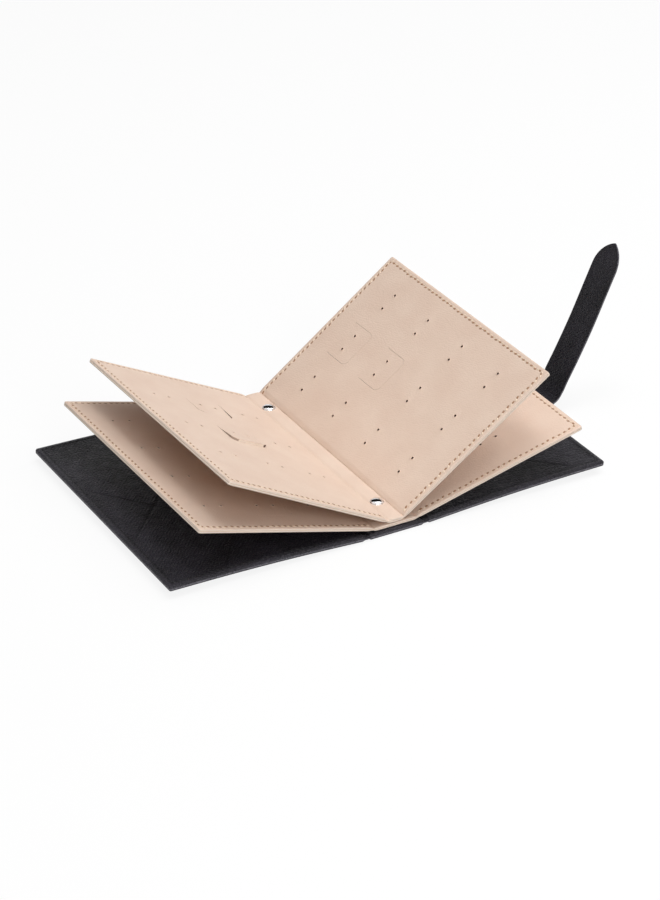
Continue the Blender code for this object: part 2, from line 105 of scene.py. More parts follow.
def ramp(value: float, low: float, high: float) -> float:
    """Ease from 0 at low to 1 at high."""
    share = min(1.0, max(0.0, (value - low) / (high - low)))
    return share * share * (3 - 2 * share)


def along_table(table: Line, at: float) -> float:
    """Read a table of (place, value) rows with straight lines between them."""
    if at <= table[0][0]:
        return table[0][1]
    for (low, first), (high, last) in zip(table, table[1:]):
        if at <= high:
            return first + (last - first) * (at - low) / (high - low)
    return table[-1][1]


def bell(away: float, half: float) -> float:
    """Ease from 1 on a line to 0 at half its width."""
    return 1 - ramp(abs(away), 0, half)


def spread(values: Iterable[float], low: float, high: float, gap: float = 0.4 * MM) -> list[float]:
    """Both ends and the values that lie well between them, in order."""
    return [low] + [value for value in sorted(values) if low + gap < value < high - gap] + [high]


def steps(low: float, high: float, pitch: float) -> list[float]:
    """Even places from low to high, about a pitch apart."""
    count = max(1, round((high - low) / pitch))
    return [low + (high - low) * index / count for index in range(count + 1)]


def arc(centre: Point, radius: float, start_deg: float, end_deg: float, count: int = 6) -> list[Point]:
    """Points of a circle's arc, both ends counted."""
    angles = [math.radians(start_deg + (end_deg - start_deg) * step / count) for step in range(count + 1)]
    return [(centre[0] + radius * math.cos(a), centre[1] + radius * math.sin(a)) for a in angles]


def without_repeats(points: Line) -> list[Point]:
    """Drop points that fall on the one before them."""
    kept = [points[0]]
    for point in points[1:]:
        if math.dist(point, kept[-1]) > TOUCH:
            kept.append(point)
    return kept


def inside(loop: Line, point: Point) -> bool:
    """Whether a point lies inside a closed loop."""
    found = False
    for (ax, ay), (bx, by) in zip(loop, [*loop[1:], loop[0]]):
        if (ay > point[1]) != (by > point[1]) and point[0] < (bx - ax) * (point[1] - ay) / (by - ay) + ax:
            found = not found
    return found


def joint_place(name: str) -> Vector:
    """Point on a joint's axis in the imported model."""
    return Vector(next(joint["pos_m"] for joint in frame["joints"] if joint["name"] == name))


def join(pieces: Sequence[Mesh]) -> Mesh:
    """Join meshes that share one material into one mesh."""
    points, faces = [], []
    for mesh in pieces:
        first = len(points)
        points += [vertex.co.copy() for vertex in mesh.vertices]
        faces += [[first + index for index in face.vertices] for face in mesh.polygons]
    joined = bpy.data.meshes.new("joined")
    joined.from_pydata(points, [], faces)
    return joined


def stand(name: str, data: bpy.types.ID) -> Piece:
    """Add an object with its data to the scene."""
    piece = bpy.data.objects.new(name, data)
    bpy.context.scene.collection.objects.link(piece)
    return piece


def show(name: str, mesh: Mesh, material: Material, sharp_deg: float = 46) -> Piece:
    """Add a mesh to the scene as one smooth-shaded piece at the origin."""
    mesh.name = name
    mesh.materials.clear()
    mesh.materials.append(material)
    mesh.shade_smooth()
    mesh.set_sharp_from_angle(angle=math.radians(sharp_deg))
    return stand(name, mesh)


class Nodes:
    """Node tree with short calls that add and link its nodes."""

    prefix = ""

    def __init__(self, tree: bpy.types.NodeTree) -> None:
        """Take up a tree."""
        self.tree = tree

    def add(self, kind: str, values: dict | None = None, **settings: object) -> bpy.types.Node:
        """Add a node.

        Args:
            kind: the node's type, without the tree's prefix.
            values: what its inputs hold or are linked to, by name or index.
            settings: properties of the node itself.

        Returns:
            The new node.
        """
        node = self.tree.nodes.new(self.prefix + kind)
        for key, value in settings.items():
            setattr(node, key, value)
        self.feed(node, values or {})
        return node

    def feed(self, node: bpy.types.Node, values: dict) -> None:
        """Set inputs to values, or link them to other nodes' sockets."""
        for key, value in values.items():
            if isinstance(value, Socket):
                self.tree.links.new(value, node.inputs[key])
            else:
                node.inputs[key].default_value = value


class ShaderNodes(Nodes):
    """Shader tree of a material or of the world."""

    prefix = "ShaderNode"

    def between(self, value: Socket, low: float, high: float, first: float, last: float) -> Socket:
        """Map a value from one range to another, held at its ends."""
        values = {"Value": value, "From Min": low, "From Max": high, "To Min": first, "To Max": last}
        return self.add("MapRange", values).outputs["Result"]

    def seen(self) -> Socket:
        """1 for rays that show: to the eye, in a mirror or through a clear piece. 0 for light's own."""
        path = self.add("LightPath")
        shown = path.outputs["Is Camera Ray"]
        for ray in ("Is Glossy Ray", "Is Transmission Ray"):
            shown = self.add("Math", {0: shown, 1: path.outputs[ray]}, operation="MAXIMUM").outputs[0]
        return shown


class Graph(ShaderNodes):
    """Shader tree of one material."""

    def __init__(self, name: str) -> None:
        """Start a material with only its shader and output."""
        self.material = bpy.data.materials.new(name)
        self.material.use_nodes = True
        super().__init__(self.material.node_tree)
        self.shader = self.tree.nodes["Principled BSDF"]

    def coordinates(self, pattern: Pattern) -> Socket:
        """Millimetres over a flat sheet, or in the object's space."""
        if pattern is Pattern.FLAT:
            source = self.add("UVMap", uv_map=Pattern.FLAT.value).outputs["UV"]
        else:
            source = self.add("TexCoord").outputs["Object"]
        return self.add("VectorMath", {0: source, 3: 1 / MM}, operation="SCALE").outputs[0]

    def noise(self, where: Socket, size: float, detail: float = 3.0) -> Socket:
        """Cloudy pattern whose clouds are about size millimetres wide."""
        return self.add("TexNoise", {"Vector": where, "Scale": 1 / size, "Detail": detail}).outputs["Fac"]

    def cells(self, where: Socket, size: float) -> Socket:
        """Pebbled pattern, low at each pebble's middle, with pebbles about size millimetres wide."""
        values = {"Vector": where, "Scale": 1 / size, "Smoothness": 0.6}
        return self.add("TexVoronoi", values, feature="SMOOTH_F1").outputs["Distance"]

    def bands(self, where: Socket, pitch: float) -> Socket:
        """Wavering stripes a pitch apart in millimetres, across the diagonal."""
        values = {"Vector": where, "Scale": math.tau / 20 / pitch, "Distortion": 2.5}
        values |= {"Detail": 1.0, "Detail Scale": 2.0}
        return self.add("TexWave", values, bands_direction="DIAGONAL").outputs["Fac"]

    def attribute(self, name: str) -> Socket:
        """Value that the mesh carries at its points."""
        return self.add("Attribute", attribute_name=name).outputs["Fac"]

    def mix(self, share: object, first: object, second: object) -> Socket:
        """Blend two colours by a share."""
        node = self.add("Mix", data_type="RGBA")
        sockets = {socket.identifier: socket for socket in node.inputs}
        for identifier, value in (("Factor_Float", share), ("A_Color", first), ("B_Color", second)):
            if isinstance(value, Socket):
                self.tree.links.new(value, sockets[identifier])
            else:
                sockets[identifier].default_value = (*value, 1.0)
        return next(socket for socket in node.outputs if socket.identifier == "Result_Color")

    def bump(self, height: Socket, depth: float, under: Socket | None = None) -> Socket:
        """Relief of a depth in millimetres, over an earlier relief if there is one."""
        values = {"Height": height, "Distance": depth * MM, "Strength": 1.0}
        if under is not None:
            values["Normal"] = under
        return self.add("Bump", values).outputs["Normal"]

    def finish(self, base: Socket, rough: Socket, relief: Socket, coat: dict | None = None) -> Material:
        """Feed the shader, with a coat of further inputs if there is one, and hand over the material."""
        self.feed(self.shader, {"Base Color": base, "Roughness": rough, "Normal": relief, **(coat or {})})
        return self.material


@dataclass(frozen=True)
class Finish:
    """Look of one material, and the record's slot that it fills."""

    name: str
    slot: str


@dataclass(frozen=True)
class LeatherFinish(Finish):
    """Coated leather: its face, its edge, tones laid on its edges and cuts with painted light and shade among
    them, and the grain pressed into it. Sizes in millimetres.
    """

    face: Colour
    cloud: Colour
    edge: Colour
    seam: Colour
    cut: Colour
    rough: Point
    pebble: float
    pebble_depth: float
    rib: float
    rib_depth: float
    wave_depth: float
    gloss: float
    sheen: float
    cloud_size: float = 28.0

    def material(self) -> Material:
        """Build the material."""
        graph = Graph(self.name)
        where = graph.coordinates(Pattern.FLAT)
        clouds = graph.between(graph.noise(where, self.cloud_size), 0.35, 0.68, 0, 1)
        speckle = graph.between(graph.noise(where, 0.7, 2.0), 0.3, 0.75, 0, 0.5)
        colour = graph.mix(clouds, self.face, self.cloud)
        colour = graph.mix(speckle, colour, self.cloud)
        # Lay the marks: edge tone, partly painted light; seam line; painted shade in cuts and recesses
        for mark in MARKS:
            colour = graph.mix(graph.attribute(mark), colour, getattr(self, mark))
        rough = graph.between(graph.noise(where, 6.0), 0.3, 0.7, *self.rough)
        relief = graph.bump(graph.cells(where, self.pebble), -self.pebble_depth)
        relief = graph.bump(graph.bands(where, self.rib), self.rib_depth, relief)
        relief = graph.bump(graph.noise(where, 3.5), self.wave_depth, relief)
        coat = {"Specular IOR Level": self.gloss, "Sheen Weight": self.sheen, "Sheen Roughness": 0.5}
        return graph.finish(colour, rough, relief, coat)


@dataclass(frozen=True)
class ThreadFinish(Finish):
    """Sewing thread with a light twist."""

    colour: Colour
    shade: Colour

    def material(self) -> Material:
        """Build the material."""
        graph = Graph(self.name)
        where = graph.coordinates(Pattern.SPACE)
        strands = graph.bands(where, 0.5)
        rough = graph.between(graph.noise(where, 2.0), 0.2, 0.8, 0.5, 0.75)
        return graph.finish(graph.mix(strands, self.shade, self.colour), rough, graph.bump(strands, 0.04))


@dataclass(frozen=True)
class MetalFinish(Finish):
    """Polished plating with faint handling marks."""

    colour: Colour
    dull: Colour
    rough: Point

    def material(self) -> Material:
        """Build the material."""
        graph = Graph(self.name)
        where = graph.coordinates(Pattern.SPACE)
        base = graph.mix(graph.noise(where, 3.0), self.colour, self.dull)
        rough = graph.between(graph.noise(where, 0.8), 0.3, 0.8, *self.rough)
        return graph.finish(base, rough, graph.bump(graph.noise(where, 1.6), 0.004), {"Metallic": 1.0})


@dataclass(frozen=True)
class BoardFinish(Finish):
    """Grey recycled board, fibrous and matte."""

    colour: Colour
    fibre: Colour

    def material(self) -> Material:
        """Build the material."""
        graph = Graph(self.name)
        where = graph.coordinates(Pattern.SPACE)
        fibres = graph.between(graph.noise(where, 0.6, 6.0), 0.35, 0.7, 0, 1)
        base = graph.mix(fibres, self.colour, self.fibre)
        return graph.finish(base, graph.between(fibres, 0, 1, 0.85, 0.95), graph.bump(fibres, 0.05))


PAGE_LEATHER = LeatherFinish(
    name="beige_page_leather",
    slot="page_leather",
    face=(0.735, 0.556, 0.448),
    cloud=(0.780, 0.612, 0.500),
    # edge: cream of the cut edges, raised nearly to white past their own tone; that extra brightness is
    # painted light
    edge=(0.990, 0.880, 0.765),
    seam=(0.800, 0.560, 0.400),
    # cut: painted shade, dark brown on the walls of punched holes and tongue slits
    cut=(0.070, 0.032, 0.018),
    rough=(0.54, 0.66),
    pebble=0.9,
    pebble_depth=0.11,
    rib=1.1,
    rib_depth=0.02,
    wave_depth=0.10,
    gloss=0.4,
    sheen=0.05,
)
COVER_LEATHER = LeatherFinish(
    name="black_cover_leather",
    slot="cover_leather",
    face=(0.0014, 0.0011, 0.0024),
    cloud=(0.0185, 0.0160, 0.0235),
    # edge: grey on the edge walls and the raised border, partly the edges' own paint and partly a painted
    # reflection
    edge=(0.230, 0.218, 0.250),
    seam=(0.003, 0.003, 0.004),
    # cut: painted shade, laid down in the sewn hem and the pressed lines
    cut=(0.0008, 0.0008, 0.0010),
    rough=(0.38, 0.52),
    pebble=0.95,
    pebble_depth=0.80,
    rib=1.5,
    rib_depth=0.14,
    wave_depth=0.12,
    gloss=0.25,
    sheen=0.01,
)
PAGE_THREAD = ThreadFinish("pale_thread", "page_leather", (0.930, 0.790, 0.630), (0.660, 0.480, 0.350))
# Flat tan marks between the pale stitches: painted shade of the needle holes and the dents the thread pulls
PAGE_NEEDLE_SHADE = ThreadFinish("tan_needle_hole_shade", "page_leather", (0.420, 0.240, 0.140), (0.300, 0.165, 0.090))
COVER_THREAD = ThreadFinish("black_thread", "cover_leather", (0.011, 0.010, 0.012), (0.004, 0.004, 0.005))
CHROME = MetalFinish("polished_chrome", "chrome", (0.86, 0.86, 0.87), (0.72, 0.72, 0.74), (0.05, 0.14))
BOARD = BoardFinish("grey_board", "stiffener", (0.300, 0.270, 0.235), (0.390, 0.355, 0.310))
# Sizes of those marks of painted shade, shifted to sit between the stitches
NEEDLE_SHADE = {"Length": 2.7 * MM, "Width": 1.50 * MM, "Height": 0.36 * MM, "Shift": 2.2 * MM}
COVER_STITCH = {"Length": 3.4 * MM, "Width": 0.95 * MM, "Height": 0.7 * MM}
STRAP_STITCH = {"Length": 1.9 * MM, "Width": 0.5 * MM, "Height": 0.4 * MM, "Pitch": 2.6 * MM}
KEEPER_STITCH = {"Length": 1.9 * MM, "Width": 0.45 * MM, "Pitch": 2.6 * MM}


class Course:
    """Way of a flat sheet through the book, seen along the spine."""

    side: Side

    def spot(self, run: float, y: float) -> tuple[Vector, Vector]:
        """Find the sheet's mid plane.

        Args:
            run: distance from the middle of the spine, or from the course's start.
            y: place along the spine.

        Returns:
            The point there and the direction in which the run heads on.
        """
        raise NotImplementedError

    def place(self, run: float, y: float, rise: float) -> Vector:
        """Carry a point of the flat layout into the book."""
        centre, heading = self.spot(run, y)
        up = Vector((-heading.z, 0, heading.x)) * self.side.value
        return Vector((centre.x, y, centre.z)) + up * rise


@dataclass
class FoldCourse(Course):
    """Half a gutter, flat on the spine, then a leaf that rises from its fold."""

    side: Side
    pivot: Vector
    level: float
    angle: float
    twist: float
    half: float
    ease_in: float = 1.5 * MM
    ease_out: float = 1.5 * MM

    def spot(self, run: float, y: float) -> tuple[Vector, Vector]:
        """Flat up to the fold, a short curve there, and straight beyond it."""
        turn = self.angle + self.twist * y / self.half
        way = self.side.value
        flat, out = Vector((way, 0, 0)), Vector((way * math.cos(turn), 0, math.sin(turn)))
        bend = abs(self.pivot.x)
        first, last = bend - self.ease_in, bend + self.ease_out
        if run <= first:
            return Vector((way * run, 0, self.level)), flat
        if run >= last:
            return self.pivot + out * (run - bend), out
        start, end = Vector((way * first, 0, self.level)), self.pivot + out * self.ease_out
        share, length = (run - first) / (last - first), last - first
        pull, push = flat * length, out * length
        square, cube = share**2, share**3
        centre = start * (2 * cube - 3 * square + 1) + pull * (cube - 2 * square + share)
        centre += end * (3 * square - 2 * cube) + push * (cube - square)
        heading = (start - end) * (6 * square - 6 * share) + pull * (3 * square - 4 * share + 1)
        heading += push * (3 * square - 2 * share)
        return centre, heading.normalized()


@dataclass
class CoverCourse(Course):
    """Half the spine, then a cover board that rises from its hinge and bows a little."""

    side: Side
    hinge: Vector
    lift: float
    bow: float
    reach: float

    def spot(self, run: float, y: float) -> tuple[Vector, Vector]:
        """Flat over the spine, and a shallow bow over the board."""
        way = self.side.value
        reach = run - abs(self.hinge.x)
        if reach <= 0:
            return Vector((way * run, 0, self.hinge.z)), Vector((way, 0, 0))
        out = Vector((way * math.cos(self.lift), 0, math.sin(self.lift)))
        up = Vector((-way * math.sin(self.lift), 0, math.cos(self.lift)))
        phase = math.pi * reach / self.reach
        centre = self.hinge + out * reach + up * self.bow * math.sin(phase)
        heading = out + up * (self.bow * math.pi / self.reach * math.cos(phase))
        return centre, heading.normalized()


class SplineCourse(Course):
    """Smooth line through chosen points of the book's cross section."""

    side = Side.RIGHT

    def __init__(self, knots: Line, count: int = 12) -> None:
        """Sample the line.

        Args:
            knots: points of X and Z that the line goes through.
            count: how many steps there are from a knot to the next.
        """
        ends = [self.beyond(knots[1], knots[0]), *knots, self.beyond(knots[-2], knots[-1])]
        self.samples: list[Point] = [knots[0]]
        for before, start, end, after in zip(ends, ends[1:], ends[2:], ends[3:]):
            for step in range(1, count + 1):
                self.samples.append(self.between(before, start, end, after, step / count))
        self.runs = [0.0]
        for first, last in zip(self.samples, self.samples[1:]):
            self.runs.append(self.runs[-1] + math.dist(first, last))

    @staticmethod
    def beyond(inner: Point, end: Point) -> Point:
        """Mirror a point through the line's end."""
        return 2 * end[0] - inner[0], 2 * end[1] - inner[1]

    @staticmethod
    def between(before: Point, start: Point, end: Point, after: Point, share: float) -> Point:
        """Point of a Catmull-Rom span."""
        square, cube = share**2, share**3
        weights = (
            (-cube + 2 * square - share) / 2,
            (3 * cube - 5 * square + 2) / 2,
            (-3 * cube + 4 * square + share) / 2,
            (cube - square) / 2,
        )
        points = (before, start, end, after)
        return tuple(sum(w * point[axis] for w, point in zip(weights, points)) for axis in (0, 1))

    def run_at(self, place: Vector) -> float:
        """Run of the sample nearest to a point."""
        away = [math.dist(sample, (place.x, place.z)) for sample in self.samples]
        return self.runs[away.index(min(away))]

    def point(self, run: float) -> tuple[Point, Point]:
        """Place and heading at a run, in the cross section."""
        index = min(max(bisect.bisect_right(self.runs, run) - 1, 0), len(self.runs) - 2)
        share = (run - self.runs[index]) / (self.runs[index + 1] - self.runs[index])
        first, last = self.samples[index], self.samples[index + 1]
        before = self.samples[max(index - 1, 0)]
        after = self.samples[min(index + 2, len(self.samples) - 1)]
        into = (last[0] - before[0], last[1] - before[1])
        onto = (after[0] - first[0], after[1] - first[1])
        heading = tuple(into[axis] * (1 - share) + onto[axis] * share for axis in (0, 1))
        length = math.hypot(*heading)
        centre = tuple(first[axis] * (1 - share) + last[axis] * share for axis in (0, 1))
        return centre, (heading[0] / length, heading[1] / length)

    def spot(self, run: float, y: float) -> tuple[Vector, Vector]:
        """Follow the line."""
        centre, heading = self.point(run)
        return Vector((centre[0], 0, centre[1])), Vector((heading[0], 0, heading[1]))


class LoopCourse(SplineCourse):
    """Line round a loop in the plane across a cover: y and rise there, with run along the band."""

    def __init__(self, knots: Line, cover: CoverCourse, reach: float) -> None:
        """Sample the loop, and remember the cover that carries it and how far out it sits."""
        super().__init__(knots)
        self.cover = cover
        self.reach = reach

    def place(self, run: float, y: float, rise: float) -> Vector:
        """Carry a point of the flat band on to the loop: y is across the band."""
        (across, height), (way, climb) = self.point(run)
        return self.cover.place(self.reach + y, across + climb * rise, height - way * rise)


@dataclass
class Plate:
    """Plan of a sheet in its own plane. A free end has an edge of its own, and any other end is cut flush."""

    start: float
    end: float
    half: float
    corner: float = 0.0
    start_free: bool = False
    end_free: bool = True
    tip: float = 0.0

    @property
    def tip_bend(self) -> float:
        """Radius of the two arcs that close a pointed tip."""
        return (self.tip**2 + self.half**2) / (2 * self.half)

    def inset(self, run: float, y: float) -> tuple[float, Point]:
        """Distance from the free edges, and the way straight inwards."""
        across, sign = self.half - abs(y), math.copysign(1.0, y)
        if self.tip and run > self.end - self.tip:
            forward, wide = run - (self.end - self.tip), abs(y) + self.tip_bend - self.half
            reach = math.hypot(forward, wide)
            return self.tip_bend - reach, (-forward / reach, -sign * wide / reach)
        ends = []
        if self.end_free and not self.tip:
            ends.append((self.end - run, -1.0))
        if self.start_free:
            ends.append((run - self.start, 1.0))
        if not ends:
            return across, (0.0, -sign)
        forward, way = min(ends)
        if forward < self.corner and across < self.corner:
            first, second = self.corner - forward, self.corner - across
            reach = math.hypot(first, second)
            return self.corner - reach, (way * first / reach, -sign * second / reach)
        return (forward, (way, 0.0)) if forward < across else (across, (0.0, -sign))

    def corner_line(self, inset: float, at_end: bool, rows: Iterable[float]) -> list[Point]:
        """Free end at an inset: near corner, straight stretch and far corner."""
        half, bend = self.half - inset, max(self.corner - inset, 0.0)
        if at_end and self.tip:
            shift, radius = self.tip_bend - self.half, self.tip_bend - inset
            sweep = math.degrees(math.acos(shift / radius))
            near = arc((self.end - self.tip, shift), radius, -90, -90 + sweep, 12)
            return near + [(run, -y) for run, y in reversed(near[:-1])]
        edge = self.end - inset if at_end else self.start + inset
        middle = edge - bend if at_end else edge + bend
        turn = (-90, 0) if at_end else (-90, -180)
        near = arc((middle, -half + bend), bend, *turn) if bend > TOUCH else [(edge, -half)]
        straight = [(edge, y) for y in spread(rows, -half + bend, half - bend)[1:-1]]
        return near + straight + [(run, -y) for run, y in reversed(near)]

    def ring(
        self, inset: float, runs: Iterable[float], rows: Iterable[float], start: float | None = None
    ) -> list[Point]:
        """Line of equal inset, from the near side of the start round to its far side.

        Args:
            inset: distance from the free edges.
            runs: places along the sides that get a point.
            rows: places across a free end that get a point.
            start: a later start than the plate's own, for a line of stitches.

        Returns:
            The line, which closes on itself where the start is free.
        """
        half, rows = self.half - inset, list(rows)
        low = self.start if start is None else start
        if self.start_free and start is None:
            low += max(inset, self.corner)
        high = self.end - (self.tip if self.tip else max(inset, self.corner) if self.end_free else 0.0)
        places = spread(runs, low, high)
        line = [(run, -half) for run in places]
        if self.end_free:
            line += self.corner_line(inset, True, rows)
        line += [(run, half) for run in reversed(places)]
        if self.start_free and start is None:
            line += list(reversed(self.corner_line(inset, False, rows)))
        return without_repeats(line)


@dataclass
class Sheet:
    """Leather or board as one closed body: a plan, an upper and a lower surface, and a course."""

    plate: Plate
    course: Course
    upper: Surface
    lower: Surface | None = None
    rings: Sequence[float] = ()
    wall: Line = ()
    runs: Sequence[float] = ()
    rows: Sequence[float] = ()
    holes: Sequence[Line] = ()
    guides: Sequence[Line] = ()
    clear: Callable[[float, float], bool] = field(default=lambda run, y: True)
    # Painted shade on the walls of holes and slits; a negative value lays the edge colour instead
    shade: Surface = field(default=lambda run, y: 1.0)
    bore: Line = ((0.0, 0.8), (0.0, -0.8))
    # Share of the edge colour on a free rim; on the black leather that grey is partly a painted reflection
    edge_share: float = 0.6
    # Edge tone and painted shade at a point: border wear with painted highlight, then painted shade
    wear_sheen_and_shade: Callable[[float, float], Point] = field(default=lambda run, y: (0.0, 0.0))
    rim_touch: float = 0.05 * MM
    grid_gap: float = 0.5 * MM

    def __post_init__(self) -> None:
        """Mirror the upper surface where no lower one is given."""
        if self.lower is None:
            self.lower = lambda run, y: -self.upper(run, y)

    def lines(self) -> Iterable[tuple[Line, bool]]:
        """Every line that the layout must follow, and whether it closes on itself."""
        plate = self.plate
        rings = [plate.ring(inset, self.runs, self.rows) for inset in (0.0, *self.rings)]
        for ring in rings:
            yield ring, plate.start_free
        cuts = [] if plate.start_free else [(plate.start, [ring[0][1] for ring in rings])]
        if not plate.end_free:
            cuts.append((plate.end, [ring[0][1] for ring in rings]))
        for run, ends in cuts:
            half = plate.half - (self.rings[-1] if self.rings else 0.0)
            inner = spread(self.rows, -half, half)
            yield [(run, y) for y in sorted({*ends, *[-y for y in ends], *inner})], False
        for hole in self.holes:
            yield hole, True
        for guide in self.guides:
            yield guide, False

    def lay_out(self) -> tuple[list[Point], list[tuple[int, ...]]]:
        """Triangulate the flat sheet, with its holes left open.

        Returns:
            The points, and faces that turn left.
        """
        points: list[Point] = []
        edges: list[tuple[int, int]] = []
        for line, closed in self.lines():
            first = len(points)
            points += line
            edges += [(first + index, first + index + 1) for index in range(len(line) - 1)]
            if closed:
                edges.append((len(points) - 1, first))
        last_ring = (self.rings[-1] if self.rings else 0.0) + self.grid_gap
        for run in spread(self.runs, self.plate.start, self.plate.end)[1:-1]:
            for y in self.rows:
                if self.plate.inset(run, y)[0] > last_ring and self.clear(run, y):
                    points.append((run, y))
        places = [Vector(point) for point in points]
        found, _, faces, *_ = delaunay_2d_cdt(places, edges, [], 0, MERGE, False)
        spots = [(point.x, point.y) for point in found]
        kept = []
        boxes = []
        for hole in self.holes:
            xs, ys = zip(*hole)
            boxes.append((min(xs), max(xs), min(ys), max(ys)))
        for face in faces:
            x = sum(spots[index][0] for index in face) / len(face)
            y = sum(spots[index][1] for index in face) / len(face)
            if self.plate.inset(x, y)[0] <= 0 or not self.plate.start < x < self.plate.end:
                continue
            open_here = any(
                a <= x <= b and c <= y <= d and inside(hole, (x, y))
                for (a, b, c, d), hole in zip(boxes, self.holes)
            )
            if not open_here:
                (ax, ay), (bx, by), (cx, cy) = (spots[index] for index in face[:3])
                left = (bx - ax) * (cy - ay) - (by - ay) * (cx - ax) > 0
                kept.append(tuple(face) if left else tuple(reversed(face)))
        return spots, kept

    def build(self) -> Mesh:
        """Build the closed mesh in its place, with its flat layout as a map and its edges marked."""
        spots, faces = self.lay_out()
        used = sorted({index for face in faces for index in face})
        renumber = {index: place for place, index in enumerate(used)}
        spots = [spots[index] for index in used]
        faces = [tuple(renumber[index] for index in face) for face in faces]
        ways = {(a, b) for face in faces for a, b in zip(face, (*face[1:], face[0]))}
        border = sorted((a, b) for a, b in ways if (b, a) not in ways)
        flat: list[tuple[float, float, float]] = []
        marks: dict[str, list[float]] = {mark: [] for mark in MARKS}

        def put(run: float, y: float, rise: float, *tones: float) -> int:
            flat.append((run, y, rise))
            for mark, tone in zip(MARKS, tones):
                marks[mark].append(tone)
            return len(flat) - 1

        rim = {index for pair in border for index in pair}
        free = {index for index in rim if self.plate.inset(*spots[index])[0] < self.rim_touch}
        first, last = self.plate.start + TOUCH, self.plate.end - TOUCH
        pierced = {index for index in rim - free if first < spots[index][0] < last}
        tones = []
        # Each point's edge tone and painted shade, and the edge colour on a free rim
        for index, spot in enumerate(spots):
            wear_and_sheen, dark = self.wear_sheen_and_shade(*spot)
            tones.append((max(wear_and_sheen, self.edge_share * (index in free)), 0.0, dark))
        tops = [put(*spot, self.upper(*spot), *tone) for spot, tone in zip(spots, tones)]
        lows = [put(*spot, self.lower(*spot), *tone) for spot, tone in zip(spots, tones)]
        deepest = max((inset for inset, _ in self.wall), default=0.0)
        columns: dict[int, list[int]] = {}
        for index in rim:
            run, y = spots[index]
            _, way = self.plate.inset(run, y)
            column, high, low = [tops[index]], self.upper(run, y), self.lower(run, y)
            for inset, share in self.bore if index in pierced else self.wall:
                rise = low + (high - low) * (1 + share) / 2
                # Walls of holes and slits: painted shade from shade(), or the edge colour where it is
                # negative
                if index in pierced:
                    dark = self.shade(run, y)
                    column.append(put(run, y, rise, max(0.0, -dark), 0.0, max(0.0, dark)))
                    continue
                shift = inset if index in free else 0.0
                seam = 1.0 if index in free and inset == deepest else 0.0
                # Middle rows of a free wall take the full edge colour: the cream cut edge on the pages,
                # partly a painted reflection on the black leather
                edge_share = 1.0 if abs(share) < 0.5 else self.edge_share
                column.append(put(run + way[0] * shift, y + way[1] * shift, rise, edge_share, seam, 0.0))
            columns[index] = [*column, lows[index]]
        sides = []
        for a, b in border:
            for (upper_a, lower_a), (upper_b, lower_b) in zip(
                zip(columns[a], columns[a][1:]), zip(columns[b], columns[b][1:])
            ):
                sides.append((upper_b, upper_a, lower_a, lower_b))
        closed = [tuple(tops[i] for i in face) for face in faces]
        closed += [tuple(lows[i] for i in reversed(face)) for face in faces] + sides
        if self.course.side is Side.LEFT:
            closed = [tuple(reversed(face)) for face in closed]
        mesh = bpy.data.meshes.new("sheet")
        mesh.from_pydata([self.course.place(*point) for point in flat], [], closed)
        for mark, values in marks.items():
            layer = mesh.attributes.new(mark, "FLOAT", "POINT")
            layer.data.foreach_set("value", [float(value) for value in values])
        layer = mesh.uv_layers.new(name=Pattern.FLAT.value)
        corners = [flat[loop.vertex_index] for loop in mesh.loops]
        layer.data.foreach_set("uv", [value for run, y, rise in corners for value in (run + rise, y + rise)])
        return mesh

    def dress(self, trim: Mesh, face: Face) -> Mesh:
        """Lay flat trim, such as stitches, on one of the sheet's faces."""
        laid = trim.copy()
        surface = self.upper if face is Face.UPPER else self.lower
        for vertex in laid.vertices:
            run, y, rise = vertex.co
            vertex.co = self.course.place(run, y, surface(run, y) + rise * face.value)
        if self.course.side.value * face.value < 0:
            laid.flip_normals()
        return laid

    def dress_both(self, trim: Mesh) -> Mesh:
        """Lay flat trim on both faces, as one mesh."""
        return join([self.dress(trim, face) for face in Face])


